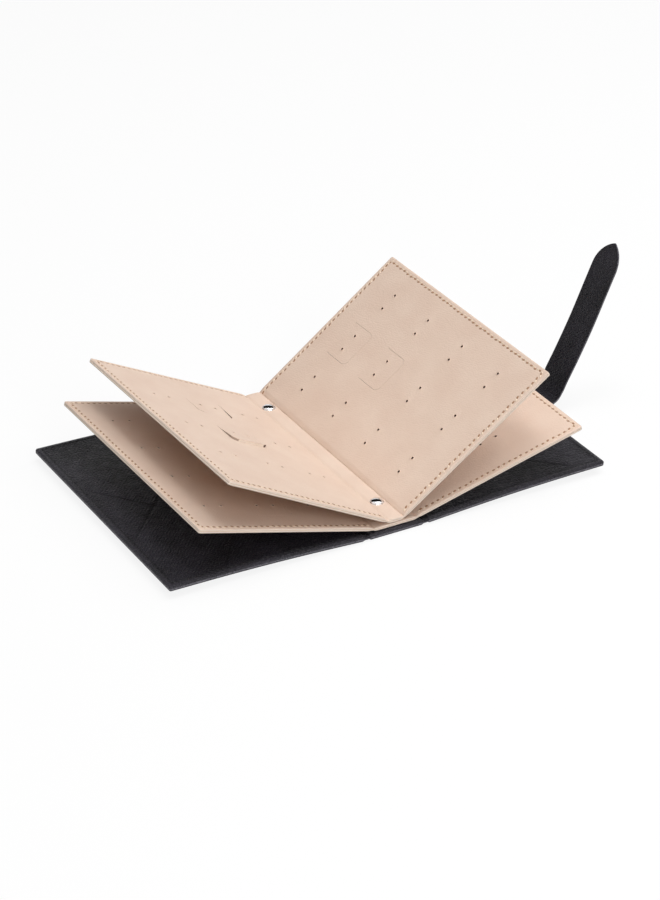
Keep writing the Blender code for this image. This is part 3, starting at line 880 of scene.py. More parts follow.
class TrimTree(Nodes):
    """Geometry Nodes tree that repeats a small form, with its sizes as named inputs."""

    def __init__(self, name: str, sizes: dict[str, float], seed: int = 0) -> None:
        """Make the tree with its inputs.

        Args:
            name: the tree's name.
            sizes: named inputs and the values that they start from.
            seed: what the tree's random numbers start from.
        """
        super().__init__(bpy.data.node_groups.new(name, "GeometryNodeTree"))
        face = self.tree.interface
        face.new_socket("Path", in_out="INPUT", socket_type="NodeSocketGeometry")
        inputs = [(label, "Float", value) for label, value in sizes.items()]
        inputs += [("Seed", "Int", seed), ("Finish", "Material", None)]
        self.keys: dict[str, str] = {}
        for label, kind, value in inputs:
            socket = face.new_socket(label, in_out="INPUT", socket_type="NodeSocket" + kind)
            if value is not None:
                socket.default_value = value
            self.keys[label] = socket.identifier
        face.new_socket("Trim", in_out="OUTPUT", socket_type="NodeSocketGeometry")
        self.source = self.add("NodeGroupInput").outputs

    def close(self, instances: Socket) -> None:
        """Make the instances real, shade them smooth and give them their finish."""
        real = self.add("GeometryNodeRealizeInstances", {"Geometry": instances})
        smooth = self.add("GeometryNodeSetShadeSmooth", {"Geometry": real.outputs["Geometry"]})
        values = {"Geometry": smooth.outputs[0], "Material": self.source["Finish"]}
        finished = self.add("GeometryNodeSetMaterial", values)
        self.add("NodeGroupOutput", {"Trim": finished.outputs["Geometry"]})

    def run(self, lines: Sequence[Line], material: Material, **sizes: float) -> Mesh:
        """Run the tree along flat lines, or at flat points.

        Args:
            lines: open lines of run and y. A line of one point is a place of its own.
            material: the trim's finish.
            sizes: inputs that differ from the tree's own values.

        Returns:
            The trim as a plain mesh in the flat layout.
        """
        points = [Vector((run, y, 0)) for line in lines for run, y in line]
        edges, first = [], 0
        for line in lines:
            edges += [(first + index, first + index + 1) for index in range(len(line) - 1)]
            first += len(line)
        path = bpy.data.meshes.new("path")
        path.from_pydata(points, edges, [])
        holder = stand("path", path)
        modifier = holder.modifiers.new("trim", "NODES")
        modifier.node_group = self.tree
        modifier[self.keys["Finish"]] = material
        for label, value in sizes.items():
            modifier[self.keys[label]] = value
        depsgraph = bpy.context.evaluated_depsgraph_get()
        trim = bpy.data.meshes.new_from_object(holder.evaluated_get(depsgraph))
        holder.modifiers.remove(modifier)
        bpy.data.objects.remove(holder)
        bpy.data.meshes.remove(path)
        return trim


def stitch_tree() -> TrimTree:
    """Tree that sews: one slightly slanted stitch at every pitch along a line."""
    sizes = {"Pitch": 4.4 * MM, "Length": 2.6 * MM, "Width": 1.35 * MM, "Height": 1.0 * MM}
    tree = TrimTree("stitch_run", sizes | {"Slant": 0.3, "Shift": 0.0}, seed=7)
    source = tree.source
    curve = tree.add("GeometryNodeMeshToCurve", {"Mesh": source["Path"]}).outputs["Curve"]
    values = {"Curve": curve, "Length": source["Pitch"]}
    sewn = tree.add("GeometryNodeResampleCurve", values, mode="LENGTH")
    ball = tree.add("GeometryNodeMeshUVSphere", {"Segments": 8, "Rings": 6, "Radius": 0.5})
    values = {"X": source["Length"], "Y": source["Width"], "Z": source["Height"]}
    size = tree.add("ShaderNodeCombineXYZ", values).outputs["Vector"]
    shift = tree.add("ShaderNodeCombineXYZ", {"X": source["Shift"]}).outputs["Vector"]
    values = {"Geometry": ball.outputs["Mesh"], "Translation": shift, "Scale": size}
    thread = tree.add("GeometryNodeTransform", values)
    values = {"Vector": tree.add("GeometryNodeInputTangent").outputs["Tangent"]}
    heading = tree.add("FunctionNodeAlignRotationToVector", values, axis="X", pivot_axis="Z")
    low, high = (
        tree.add("ShaderNodeMath", {0: source["Slant"], 1: share}, operation="MULTIPLY")
        for share in (0.5, 1.5)
    )
    values = {"Seed": source["Seed"], 2: low.outputs[0], 3: high.outputs[0]}
    wander = tree.add("FunctionNodeRandomValue", values, data_type="FLOAT")
    slant = tree.add("ShaderNodeCombineXYZ", {"Z": wander.outputs[1]})
    values = {"Rotation": heading.outputs["Rotation"], "Rotate By": slant.outputs["Vector"]}
    turned = tree.add("FunctionNodeRotateRotation", values, rotation_space="LOCAL")
    values = {"Points": sewn.outputs["Curve"], "Instance": thread.outputs["Geometry"]}
    values["Rotation"] = turned.outputs["Rotation"]
    tree.close(tree.add("GeometryNodeInstanceOnPoints", values).outputs["Instances"])
    return tree


def punch_tree() -> TrimTree:
    """Tree that rolls a soft lip round every punched hole."""
    tree = TrimTree("punched_lips", {"Radius": 1.2 * MM, "Roll": 0.24 * MM})
    source = tree.source
    circle, profile = (
        tree.add("GeometryNodeCurvePrimitiveCircle", {"Resolution": count, "Radius": source[label]})
        for count, label in ((14, "Radius"), (6, "Roll"))
    )
    values = {"Curve": circle.outputs["Curve"], "Profile Curve": profile.outputs["Curve"]}
    lip = tree.add("GeometryNodeCurveToMesh", values)
    values = {"Points": source["Path"], "Instance": lip.outputs["Mesh"]}
    tree.close(tree.add("GeometryNodeInstanceOnPoints", values).outputs["Instances"])
    return tree


@dataclass(frozen=True)
class Bend:
    """Joint between two bodies, with the ends of a stretch over it."""

    before: str
    after: str
    start: Vector
    end: Vector

    def carry(self, piece: Piece) -> None:
        """Bake a piece's transform into its mesh; nothing bends over the joint."""
        tuple(self.start)
        tuple(self.end)
        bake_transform(piece)


@dataclass
class Workshop:
    """Finishes and sewing trees that the sub-assemblies share."""

    page: Material
    cover: Material
    page_thread: Material
    page_mark: Material
    cover_thread: Material
    chrome: Material
    board: Material
    stitches: TrimTree
    lips: TrimTree

    @classmethod
    def open(cls) -> "Workshop":
        """Make every finish and tree once."""
        return cls(
            page=PAGE_LEATHER.material(),
            cover=COVER_LEATHER.material(),
            page_thread=PAGE_THREAD.material(),
            page_mark=PAGE_NEEDLE_SHADE.material(),
            cover_thread=COVER_THREAD.material(),
            chrome=CHROME.material(),
            board=BOARD.material(),
            stitches=stitch_tree(),
            lips=punch_tree(),
        )


def report(piece: Piece, slot: str) -> Piece:
    """Log a piece and its face count, and hand it back."""
    LOG.info("%s: %d faces", piece.name, len(piece.data.polygons))
    return piece


@dataclass
class PageLeaf:
    """Punched page leaf with its half of the gutter, sewn round a stiffener.

    The bends and the fold's steps are in millimetres, all other sizes in metres.
    """

    name: str
    side: Side
    joint: str
    strip: str
    angle_deg: float
    rows: Sequence[float] = (0.198, 0.496, 0.793)
    columns: Sequence[float] = (0.166, 0.386, 0.606, 0.830)
    tab_columns: Sequence[int] = (0, 1)
    gapes: Sequence[Point] = ((0.0, 0.0), (0.0, 0.0))
    # Painted shade on a tongue's slit walls: inner leg, inner corner, outer corner, outer leg; -1 lays the
    # cream edge colour
    slit_tones: Sequence[float] = (0.8, 1.0, 1.0, -1.0)
    twist_deg: float = 0.0
    turn_joint: str = ""
    reach: float = 133 * MM
    corner: float = 1.5 * MM
    body_half: float = 1.5 * MM
    fold_half: float = 0.9 * MM
    fold_in: Point = (-2.6 * MM, -0.4 * MM)
    fold_out: Point = (0.3 * MM, 4.2 * MM)
    fold_steps: Sequence[float] = (
        -4, -2.2, -1.5, -1.0, -0.55, -0.25, 0, 0.25, 0.55, 1.0, 1.5, 2.1, 2.6, 3.1, 3.6,
        4.1, 4.6, 5.05, 5.5, 5.95, 6.4, 6.9, 7.4, 8.0, 8.7, 9.4, 11.0
    )
    root_bend: Point = (1.4, 2.4)
    turn_bend: float = 1.9
    flap: float = 2.9 * MM
    crease: float = 0.45 * MM
    crease_half: float = 0.7 * MM
    crease_inset: float = 1.0 * MM
    hem: float = 2.9 * MM
    hem_half: float = 0.9 * MM
    hem_depth: float = 0.18 * MM
    hem_start: float = 3.4 * MM
    pair: float = 12.6 * MM
    hole: float = 0.92 * MM
    hole_near: float = 1.5 * MM
    hole_sides: int = 12
    lip: float = 0.10 * MM
    lip_radius: float = 1.35 * MM
    lip_half: float = 0.75 * MM
    lip_guide: float = 2.05 * MM
    lip_foot: float = 2.2 * MM
    tab_width: float = 29 * MM
    tab_drop: float = 13.5 * MM
    tab_slit: float = 22.5 * MM
    tab_corner: float = 4.5 * MM
    slit: float = 0.15 * MM
    slit_play: float = 0.15 * MM
    slit_near: float = 1.2 * MM
    slit_ends: Point = (-1.5 * MM, 1 * MM)
    grid: Point = (5.5 * MM, 5.8 * MM)
    grid_start: float = 14 * MM
    grid_margin: float = 6 * MM
    board_grid: float = 8 * MM
    board_margin: float = 4.8 * MM
    board_start: float = 9.5 * MM
    board_half: float = 0.5 * MM
    rim: Line = ((0, 0.46), (0.12 * MM, 0.26), (0.35 * MM, 0.10), (0.8 * MM, 0.02), (1.5 * MM, 0.0))

    def __post_init__(self) -> None:
        """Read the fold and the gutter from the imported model."""
        low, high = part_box(self.strip)
        self.half = high.y
        self.pivot = joint_place(self.joint)
        self.bend = abs(self.pivot.x)
        self.end = self.bend + self.reach
        self.gutter_half = (high.z - low.z) / 2
        self.course = FoldCourse(
            side=self.side,
            pivot=self.pivot,
            level=(low.z + high.z) / 2,
            angle=math.radians(self.angle_deg),
            twist=math.radians(self.twist_deg),
            half=self.half,
        )
        runs = [self.bend + self.reach * row for row in self.rows]
        ys = [self.half - 2 * self.half * column for column in self.columns]
        self.places = [(run + step * self.pair / 2, y) for y in ys for run in runs for step in (-1, 1)]
        self.tabs = [(runs[1], ys[index]) for index in self.tab_columns]

    def swell(self, run: float) -> float:
        """Half thickness: the gutter, the thin fold, then the body round its stiffener."""
        reach = run - self.bend
        thin = self.gutter_half + (self.fold_half - self.gutter_half) * ramp(reach, *self.fold_in)
        return thin + (self.body_half - self.fold_half) * ramp(reach, *self.fold_out)

    def shape(self, run: float, y: float) -> float:
        """Height of either face over the mid plane: soft rims, the sewn hem and lips round the holes."""
        inset, _ = self.plate.inset(run, y)
        height = self.swell(run) * (1 - along_table(self.rim, inset))
        height -= self.crease * bell(run - self.bend, self.crease_half) * ramp(inset, 0, self.crease_inset)
        if run > self.bend + self.hem:
            height -= self.hem_depth * bell(inset - self.hem, self.hem_half)
        for x, z in self.places:
            away = math.hypot(run - x, y - z)
            if away < self.lip_foot:
                height += self.lip * bell(away - self.lip_radius, self.lip_half)
        return height

    def lifted(self, run: float, y: float) -> float:
        """How far a cut tongue stands out of the leaf there."""
        half, bend, play = self.tab_width / 2, self.tab_corner, self.slit / 2
        for (middle, centre), (outer, inner) in zip(self.tabs, self.gapes):
            across, along = abs(run - middle), y - (centre - self.tab_drop)
            if not (across < half - play and play < along < self.tab_slit):
                continue
            if across > half - bend and along < bend:
                if math.hypot(across - (half - bend), bend - along) > bend - play:
                    continue
            gape = inner + (outer - inner) * ((run - middle) / self.tab_width + 0.5)
            return gape * (1 - ramp(along, 0, self.tab_slit))
        return 0.0

    def shade(self, run: float, y: float) -> float:
        """Painted shade on a cut's wall: full in the punched holes, its own on each part of a tongue's
        outline, and the edge colour where it is negative.
        """
        if any(math.hypot(run - x, y - z) < self.hole_near for x, z in self.places):
            return 1.0
        middle, centre = min(self.tabs, key=lambda tab: math.hypot(run - tab[0], y - tab[1]))
        across, along = run - middle, y - (centre - self.tab_drop)
        if abs(across) < self.tab_width / 2 - self.tab_corner:
            return -1.0
        inner_leg, inner_corner, outer_corner, outer_leg = self.slit_tones
        if across < 0:
            return inner_corner if along < self.tab_corner else inner_leg
        return outer_corner if along < self.tab_corner else outer_leg

    def upper(self, run: float, y: float) -> float:
        """Upper face."""
        return self.shape(run, y) + self.lifted(run, y)

    def lower(self, run: float, y: float) -> float:
        """Lower face."""
        return -self.shape(run, y) + self.lifted(run, y)

    def slit_line(self, middle: float, centre: float, shift: float) -> list[Point]:
        """U of a tongue, at a shift inwards from the slit's outer side."""
        wide, low = self.tab_width / 2 - shift, centre - self.tab_drop + shift
        bend, high = self.tab_corner - shift, centre - self.tab_drop + self.tab_slit
        legs = [low + bend + (high - low - bend) * share for share in (1, 0.75, 0.5, 0.25)]
        line = [(middle - wide, y) for y in legs]
        line += arc((middle - wide + bend, low + bend), bend, 180, 270)
        line += [(middle + (wide - bend) * share, low) for share in (-0.5, 0, 0.5)]
        line += arc((middle + wide - bend, low + bend), bend, 270, 360)
        return line + [(middle + wide, y) for y in reversed(legs)]

    def clear(self, run: float, y: float) -> bool:
        """Whether a point of the even grid keeps clear of the holes and slits."""
        if any(math.hypot(run - x, y - z) < self.lip_foot for x, z in self.places):
            return False
        before, after = self.slit_ends
        for middle, centre in self.tabs:
            across, along = abs(run - middle), y - (centre - self.tab_drop)
            beside_leg = abs(across - self.tab_width / 2) < self.slit_near
            near_leg = beside_leg and before < along < self.tab_slit + after
            near_foot = abs(along) < self.slit_near and across < self.tab_width / 2 + after
            if near_leg or near_foot:
                return False
        return True

    def sheet(self, start: float, end: float, end_free: bool) -> Sheet:
        """Leather of the leaf from one run to another."""
        self.plate = Plate(start, end, self.half, self.corner, end_free=end_free)
        runs = [self.bend + reach * MM for reach in self.fold_steps]
        runs += steps(self.bend + self.grid_start, self.end, self.grid[0])
        runs += steps(0.0, runs[0], GUTTER_GRID) if self.bend > 2 * GUTTER_GRID else []
        turns = [math.tau * side / self.hole_sides for side in range(self.hole_sides)]
        circle = [(math.cos(turn), math.sin(turn)) for turn in turns]
        holes, guides = [], []
        for x, y in self.places:
            if start < x < end:
                holes.append([(x + self.hole * a, y + self.hole * b) for a, b in circle])
                for radius in (self.lip_radius, self.lip_guide):
                    ring = [(x + radius * a, y + radius * b) for a, b in circle]
                    guides.append([*ring, ring[0]])
        for middle, centre in self.tabs:
            if start < middle < end:
                outer, inner = (self.slit_line(middle, centre, shift) for shift in (0.0, self.slit))
                holes.append([*outer, *reversed(inner)])
        return Sheet(
            plate=self.plate,
            course=self.course,
            upper=self.upper,
            lower=self.lower,
            rings=[value * MM for value in (0.12, 0.35, 0.8, 1.5, 2.3, 3.0, 3.7, 5.0)],
            wall=((0.0, 0.42), (0.26 * MM, 0.10), (0.26 * MM, -0.10), (0.0, -0.42)),
            runs=[run for run in runs if start < run < end],
            rows=steps(-self.half + self.grid_margin, self.half - self.grid_margin, self.grid[1]),
            holes=holes,
            guides=guides,
            clear=self.clear,
            shade=self.shade,
        )

    def board(self) -> Mesh:
        """Stiffener inside the leaf, punched a little wider than the leathers."""
        start, end = self.bend + self.board_start, self.end - self.board_margin
        circle = arc((0, 0), self.hole + self.slit_play, 0, 330, 11)
        holes = [[(x + a, y + b) for a, b in circle] for x, y in self.places]
        for middle, centre in self.tabs:
            shifts = (-self.slit_play, self.slit + self.slit_play)
            outer, inner = (self.slit_line(middle, centre, shift) for shift in shifts)
            holes.append([*outer, *reversed(inner)])
        sheet = Sheet(
            plate=Plate(start, end, self.half - self.board_margin, start_free=True),
            course=self.course,
            upper=lambda run, y: self.board_half + self.lifted(run, y),
            lower=lambda run, y: -self.board_half + self.lifted(run, y),
            runs=steps(start, end, self.board_grid)[1:-1],
            rows=steps(-self.half + self.board_grid, self.half - self.board_grid, self.board_grid),
            holes=holes,
            clear=self.clear,
        )
        return sheet.build()

    def trims(self, sheet: Sheet, shop: Workshop) -> dict[str, tuple[Mesh, Material]]:
        """Stitches along the hem, tan marks between them that paint the shade of needle holes and dents, and
        lips round the holes, on both faces.
        """
        first = max(self.bend + self.hem_start, sheet.plate.start)
        hem = sheet.plate.ring(self.hem, sheet.runs, sheet.rows, start=first)
        trims = {
            "stitches": (shop.stitches.run([hem], shop.page_thread), shop.page_thread),
            "needle_marks": (shop.stitches.run([hem], shop.page_mark, **NEEDLE_SHADE), shop.page_mark),
            "hole_lips": (shop.lips.run([[place] for place in self.places], shop.page), shop.page),
        }
        return {part: (sheet.dress_both(trim), material) for part, (trim, material) in trims.items()}

    def build(self, shop: Workshop) -> None:
        """Build and dress the leaf, laid along its fold."""
        way, angle = self.side.value, self.course.angle
        out = Vector((way * math.cos(angle), 0, math.sin(angle)))
        inner, outer = self.root_bend
        ends = self.pivot - Vector((way * inner * MM, 0, 0)), self.pivot + out * outer * MM
        rooted = Bend("spine", self.name, *ends)
        nodes = [self.name + part for part in ("_flap", "_upper_leather", "_lower_leather")]
        if self.turn_joint:
            turn = joint_place(self.turn_joint)
            split = self.bend + self.flap
            rooted = Bend("spine", self.name + "_flap", *ends)
            root = self.sheet(0.0, split, False)
            piece = show(self.name + "_root", root.build(), shop.page)
            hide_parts(self.strip, self.name + "_flap")
            rooted.carry(report(piece, PAGE_LEATHER.slot))
            ends = turn - out * self.turn_bend * MM, turn + out * self.turn_bend * MM
            bend = Bend(self.name + "_flap", self.name, *ends)
            sheet = self.sheet(split, self.end, True)
            nodes = nodes[1:]
        else:
            bend = rooted
            sheet = self.sheet(0.0, self.end, True)
            nodes.append(self.strip)
        leather = show(self.name + "_leather", sheet.build(), shop.page)
        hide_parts(*nodes)
        bend.carry(report(leather, PAGE_LEATHER.slot))
        for part, (mesh, material) in self.trims(sheet, shop).items():
            bend.carry(report(show(f"{self.name}_{part}", mesh, material), PAGE_LEATHER.slot))
        board = show(self.name + "_stiffener", self.board(), shop.board)
        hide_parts(self.name + "_board")
        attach(report(board, BOARD.slot), self.name)


@dataclass
class CoverHalf:
    """Cover board with its half of the spine: padded outer leather and lining, sewn round a board.

    The bend and the hinge's steps are in millimetres, all other sizes in metres.
    """

    name: str
    side: Side
    joint: str
    lift_deg: float
    groove_lines: Sequence[tuple[Point, Point]]
    bow: float = 1.2 * MM
    reach: float = 143.4 * MM
    corner: float = 1.4 * MM
    hem: float = 3.6 * MM
    hem_half: float = 0.9 * MM
    hem_depth: float = 0.34 * MM
    hem_start: float = 0.75 * MM
    # Width of the painted shade down in the sewn hem
    hem_dark: float = 0.5 * MM
    # Lightening of the raised border towards the edge grey: partly wear, partly painted highlight
    border_fade: Point = (1.0 * MM, 0.4 * MM)
    border_wear_and_sheen: float = 0.06
    field_ease: float = 1.6 * MM
    field_depth: float = 0.10 * MM
    groove: float = 3.2 * MM
    groove_floor: float = 1.3 * MM
    groove_depth: float = 1.2 * MM
    hinge_steps: Sequence[float] = (
        -6, -3.2, -2.7, -2.2, -1.7, -1.3, -0.65, 0, 0.65, 1.3, 1.7, 2.2, 2.7, 3.2, 5.0
    )
    hinge_bend: float = 1.9
    line_margin: Point = (8 * MM, 7 * MM)
    line_half: float = 0.60 * MM
    line_depth: float = 0.24 * MM
    # Strength of the painted shade down in the pressed lines
    line_dark: float = 0.8
    grid: Point = (5.5 * MM, 5.8 * MM)
    grid_start: float = 10 * MM
    grid_margin: float = 7 * MM
    board_grid: Point = (8 * MM, 9 * MM)
    board_margin: float = 5.3 * MM
    board_start: float = 5.9 * MM
    board_half: float = 0.8 * MM
    rim: Line = ((0, 0.52), (0.15 * MM, 0.30), (0.45 * MM, 0.13), (1.0 * MM, 0.03), (1.8 * MM, 0.0))

    def __post_init__(self) -> None:
        """Read the hinge and the cover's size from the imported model."""
        self.thickness_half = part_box("spine_lining")[1].z / 2
        self.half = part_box("spine_lining")[1].y
        self.hinge = joint_place(self.joint)
        self.bend = abs(self.hinge.x)
        self.end = self.bend + self.reach
        self.course = CoverCourse(self.side, self.hinge, math.radians(self.lift_deg), self.bow, self.reach)
        self.plate = Plate(0.0, self.end, self.half, self.corner)
        out, across = self.line_margin
        start, span, wide = self.bend + out, self.reach - 2 * out, self.half - across
        self.lines = [
            tuple((start + span * run, (2 * y - 1) * wide) for run, y in pair) for pair in self.groove_lines
        ]

    def pressed(self, run: float, y: float) -> float:
        """Depth of the pressed lines at a point."""
        depth = 0.0
        for (ax, ay), (bx, by) in self.lines:
            length = math.hypot(bx - ax, by - ay)
            along = ((run - ax) * (bx - ax) + (y - ay) * (by - ay)) / length
            across = abs((run - ax) * (by - ay) - (y - ay) * (bx - ax)) / length
            if -self.line_half < along < length + self.line_half and across < self.line_half:
                depth = max(depth, self.line_depth * (1 - across / self.line_half))
        return depth

    def shape(self, run: float, y: float) -> float:
        """Height of either face: raised border, sewn hem, flat field, pressed lines and hinge groove."""
        inset, _ = self.plate.inset(run, y)
        rim = along_table(self.rim, inset)
        height = self.thickness_half * (1 - rim)
        height -= self.hem_depth * bell(inset - self.hem, self.hem_half)
        height -= self.field_depth * ramp(inset, self.hem, self.hem + self.field_ease)
        share = 1 - ramp(abs(run - self.bend), self.groove_floor, self.groove)
        height -= share * (height - (self.thickness_half - self.groove_depth) * (1 - 0.5 * rim))
        return height - self.pressed(run, y)

    def wear_sheen_and_shade(self, run: float, y: float) -> Point:
        """Lightening of the raised border, partly wear and partly painted highlight, and painted shade down
        in the sewn hem and the pressed lines.
        """
        inset, _ = self.plate.inset(run, y)
        first, last = self.border_fade
        border = 1 - ramp(inset, self.hem - first, self.hem - last)
        line = self.line_dark * self.pressed(run, y) / self.line_depth
        sunk = max(1 - abs(inset - self.hem) / self.hem_dark, line)
        return self.border_wear_and_sheen * border, max(0.0, sunk)

    def sheet(self) -> Sheet:
        """Both leathers of the half cover as one padded body."""
        runs = [self.bend + reach * MM for reach in self.hinge_steps]
        runs += steps(0.0, runs[0], GUTTER_GRID)[:-1]
        runs += steps(self.bend + self.grid_start, self.end, self.grid[0])
        guides = []
        for (ax, ay), (bx, by) in self.lines:
            length = math.hypot(bx - ax, by - ay)
            wide, high = (by - ay) / length * self.line_half, (ax - bx) / length * self.line_half
            for share in (-1, 0, 1):
                guides.append([(x + wide * share, y + high * share) for x, y in ((ax, ay), (bx, by))])
        return Sheet(
            plate=self.plate,
            course=self.course,
            upper=self.shape,
            rings=[value * MM for value in (0.15, 0.45, 1.0, 1.8, 2.6, 3.1, 3.6, 4.1, 5.2)],
            wall=(
                (-0.12 * MM, 0.66), (-0.12 * MM, 0.40), (0.10 * MM, 0.16), (0.45 * MM, 0.0),
                (0.10 * MM, -0.16), (-0.12 * MM, -0.40), (-0.12 * MM, -0.66)
            ),
            runs=runs,
            rows=steps(-self.half + self.grid_margin, self.half - self.grid_margin, self.grid[1]),
            guides=guides,
            clear=lambda run, y: self.pressed(run, y) == 0,
            edge_share=0.0,
            wear_sheen_and_shade=self.wear_sheen_and_shade,
        )

    def board(self) -> Mesh:
        """Stiff board between the leathers."""
        start, end = self.bend + self.board_start, self.end - self.board_margin
        out, across = self.board_grid
        sheet = Sheet(
            plate=Plate(start, end, self.half - self.board_margin, start_free=True),
            course=self.course,
            upper=lambda run, y: self.board_half,
            runs=steps(start, end, out)[1:-1],
            rows=steps(-self.half + across, self.half - across, across),
        )
        return sheet.build()

    def build(self, shop: Workshop) -> None:
        """Build and dress the half cover, laid along its hinge."""
        reach = Vector((self.side.value * self.hinge_bend * MM, 0, 0))
        bend = Bend("spine", self.name, self.hinge - reach, self.hinge + reach)
        sheet = self.sheet()
        leather = show(self.name + "_wrap", sheet.build(), shop.cover)
        hinge_leather = self.name.replace("cover", "hinge") + "_leather"
        spine_nodes = ("spine_leather", "spine_lining", hinge_leather)
        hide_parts(self.name + "_leather", self.name + "_lining", *spine_nodes)
        bend.carry(report(leather, COVER_LEATHER.slot))
        hem = sheet.plate.ring(self.hem, sheet.runs, sheet.rows, start=self.hem_start)
        sewn = shop.stitches.run([hem], shop.cover_thread, **COVER_STITCH)
        stitches = show(self.name + "_stitches", sheet.dress_both(sewn), shop.cover_thread)
        bend.carry(report(stitches, COVER_LEATHER.slot))
        board = show(self.name + "_stiffener", self.board(), shop.board)
        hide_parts(self.name + "_board")
        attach(report(board, BOARD.slot), self.name)


@dataclass
class Strap:
    """Closing strap: sewn under the back cover, up round its edge and on to a pointed tip."""

    cover: CoverHalf
    width: float = 25 * MM
    half_thickness: float = 0.8 * MM
    anchor: float = 30 * MM
    gap: float = 0.3 * MM
    tip: float = 19 * MM
    hem: float = 2.4 * MM
    hem_half: float = 0.8 * MM
    hem_depth: float = 0.10 * MM
    corner: float = 1 * MM
    first_bend: float = 3.5 * MM
    later_bend: float = 7 * MM
    rim: Line = ((0, 0.42), (0.12 * MM, 0.20), (0.35 * MM, 0.06), (0.9 * MM, 0.0))
    curve: Line = (
        (178.0 * MM, 6.3 * MM), (185.4 * MM, 9.4 * MM), (189.6 * MM, 15.6 * MM),
        (193.0 * MM, 23.2 * MM), (200.2 * MM, 38.0 * MM), (210.0 * MM, 60.0 * MM),
        (219.6 * MM, 84.5 * MM), (226.0 * MM, 100.5 * MM), (233.2 * MM, 115.6 * MM)
    )

    def __post_init__(self) -> None:
        """Lay the strap's line under the cover, over its edge and up."""
        rise = -self.cover.thickness_half - self.gap - self.half_thickness
        under = [self.cover.end - self.anchor * share for share in (1, 0.75, 0.5, 0.25, 0.0)]
        knots = [self.cover.course.place(run, 0, rise) for run in under]
        self.folds = [joint_place(f"strap_{part}_fold") for part in ("root", "bridge", "tongue")]
        knots.append(self.folds[0])
        self.course = SplineCourse([(knot.x, knot.z) for knot in knots] + list(self.curve))
        self.end = self.course.runs[-1]
        self.half = self.width / 2

    def sheet(self, plate: Plate) -> Sheet:
        """Stretch of the strap with painted, rounded edges."""
        whole = Plate(0.0, self.end, self.half, self.corner, start_free=True, tip=self.tip)

        def shape(run: float, y: float) -> float:
            inset, _ = whole.inset(run, y)
            height = self.half_thickness * (1 - along_table(self.rim, inset))
            return height - self.hem_depth * bell(inset - self.hem, self.hem_half)

        return Sheet(
            plate=plate,
            course=self.course,
            upper=shape,
            rings=[value * MM for value in (0.12, 0.35, 0.9, 1.7, 2.4, 3.1, 4.5)],
            wall=((-0.06 * MM, 0.45), (0.0, 0.12), (0.0, -0.12), (-0.06 * MM, -0.45)),
            runs=[run for run in steps(0.0, self.end, 1.6 * MM) if plate.start < run < plate.end],
            rows=steps(-6 * MM, 6 * MM, 4 * MM),
        )

    def build(self, shop: Workshop) -> None:
        """Build the strap in three stretches, split between its folds."""
        fold_runs = [self.course.run_at(fold) for fold in self.folds]
        splits = [(first + last) / 2 for first, last in zip(fold_runs, fold_runs[1:])]
        plates = (
            Plate(0.0, splits[0], self.half, self.corner, start_free=True, end_free=False),
            Plate(splits[0], splits[1], self.half, end_free=False),
            Plate(splits[1], self.end, self.half, tip=self.tip),
        )
        bodies = ("back_cover", "strap_root", "strap_bridge", "strap_tongue")
        parts = ("strap_anchor", *bodies[1:])
        names = ("strap_anchor", "strap_knee", "strap_tongue")
        for index, (name, plate) in enumerate(zip(names, plates)):
            sheet = self.sheet(plate)
            span = self.later_bend if index else self.first_bend
            start, end = (self.course.spot(fold_runs[index] + step * span, 0)[0] for step in (-1, 1))
            bend = Bend(bodies[index], bodies[index + 1], start, end)
            nodes = [f"{part}_{layer}" for part in parts[index : index + 2] for layer in ("outer", "lining")]
            piece = show(name + "_leather", sheet.build(), shop.cover)
            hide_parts(*nodes)
            bend.carry(report(piece, COVER_LEATHER.slot))
            sewn = shop.stitches.run(self.hem_lines(plate), shop.cover_thread, **STRAP_STITCH)
            stitches = show(name + "_stitches", sheet.dress_both(sewn), shop.cover_thread)
            bend.carry(report(stitches, COVER_LEATHER.slot))

    def hem_lines(self, plate: Plate) -> list[Line]:
        """Lines of stitches of a stretch: both sides, the tip and across the sewn end."""
        runs = steps(plate.start, plate.end, 4 * MM)
        if plate.end_free:
            return [plate.ring(self.hem, runs, (), start=plate.start)]
        low = plate.start + (self.hem if plate.start_free else 0.0)
        inner = self.half - self.hem
        if plate.start_free:
            return [[(plate.end, -inner), (low, -inner), (low, inner), (plate.end, inner)]]
        return [[(low, -inner), (plate.end, -inner)], [(low, inner), (plate.end, inner)]]


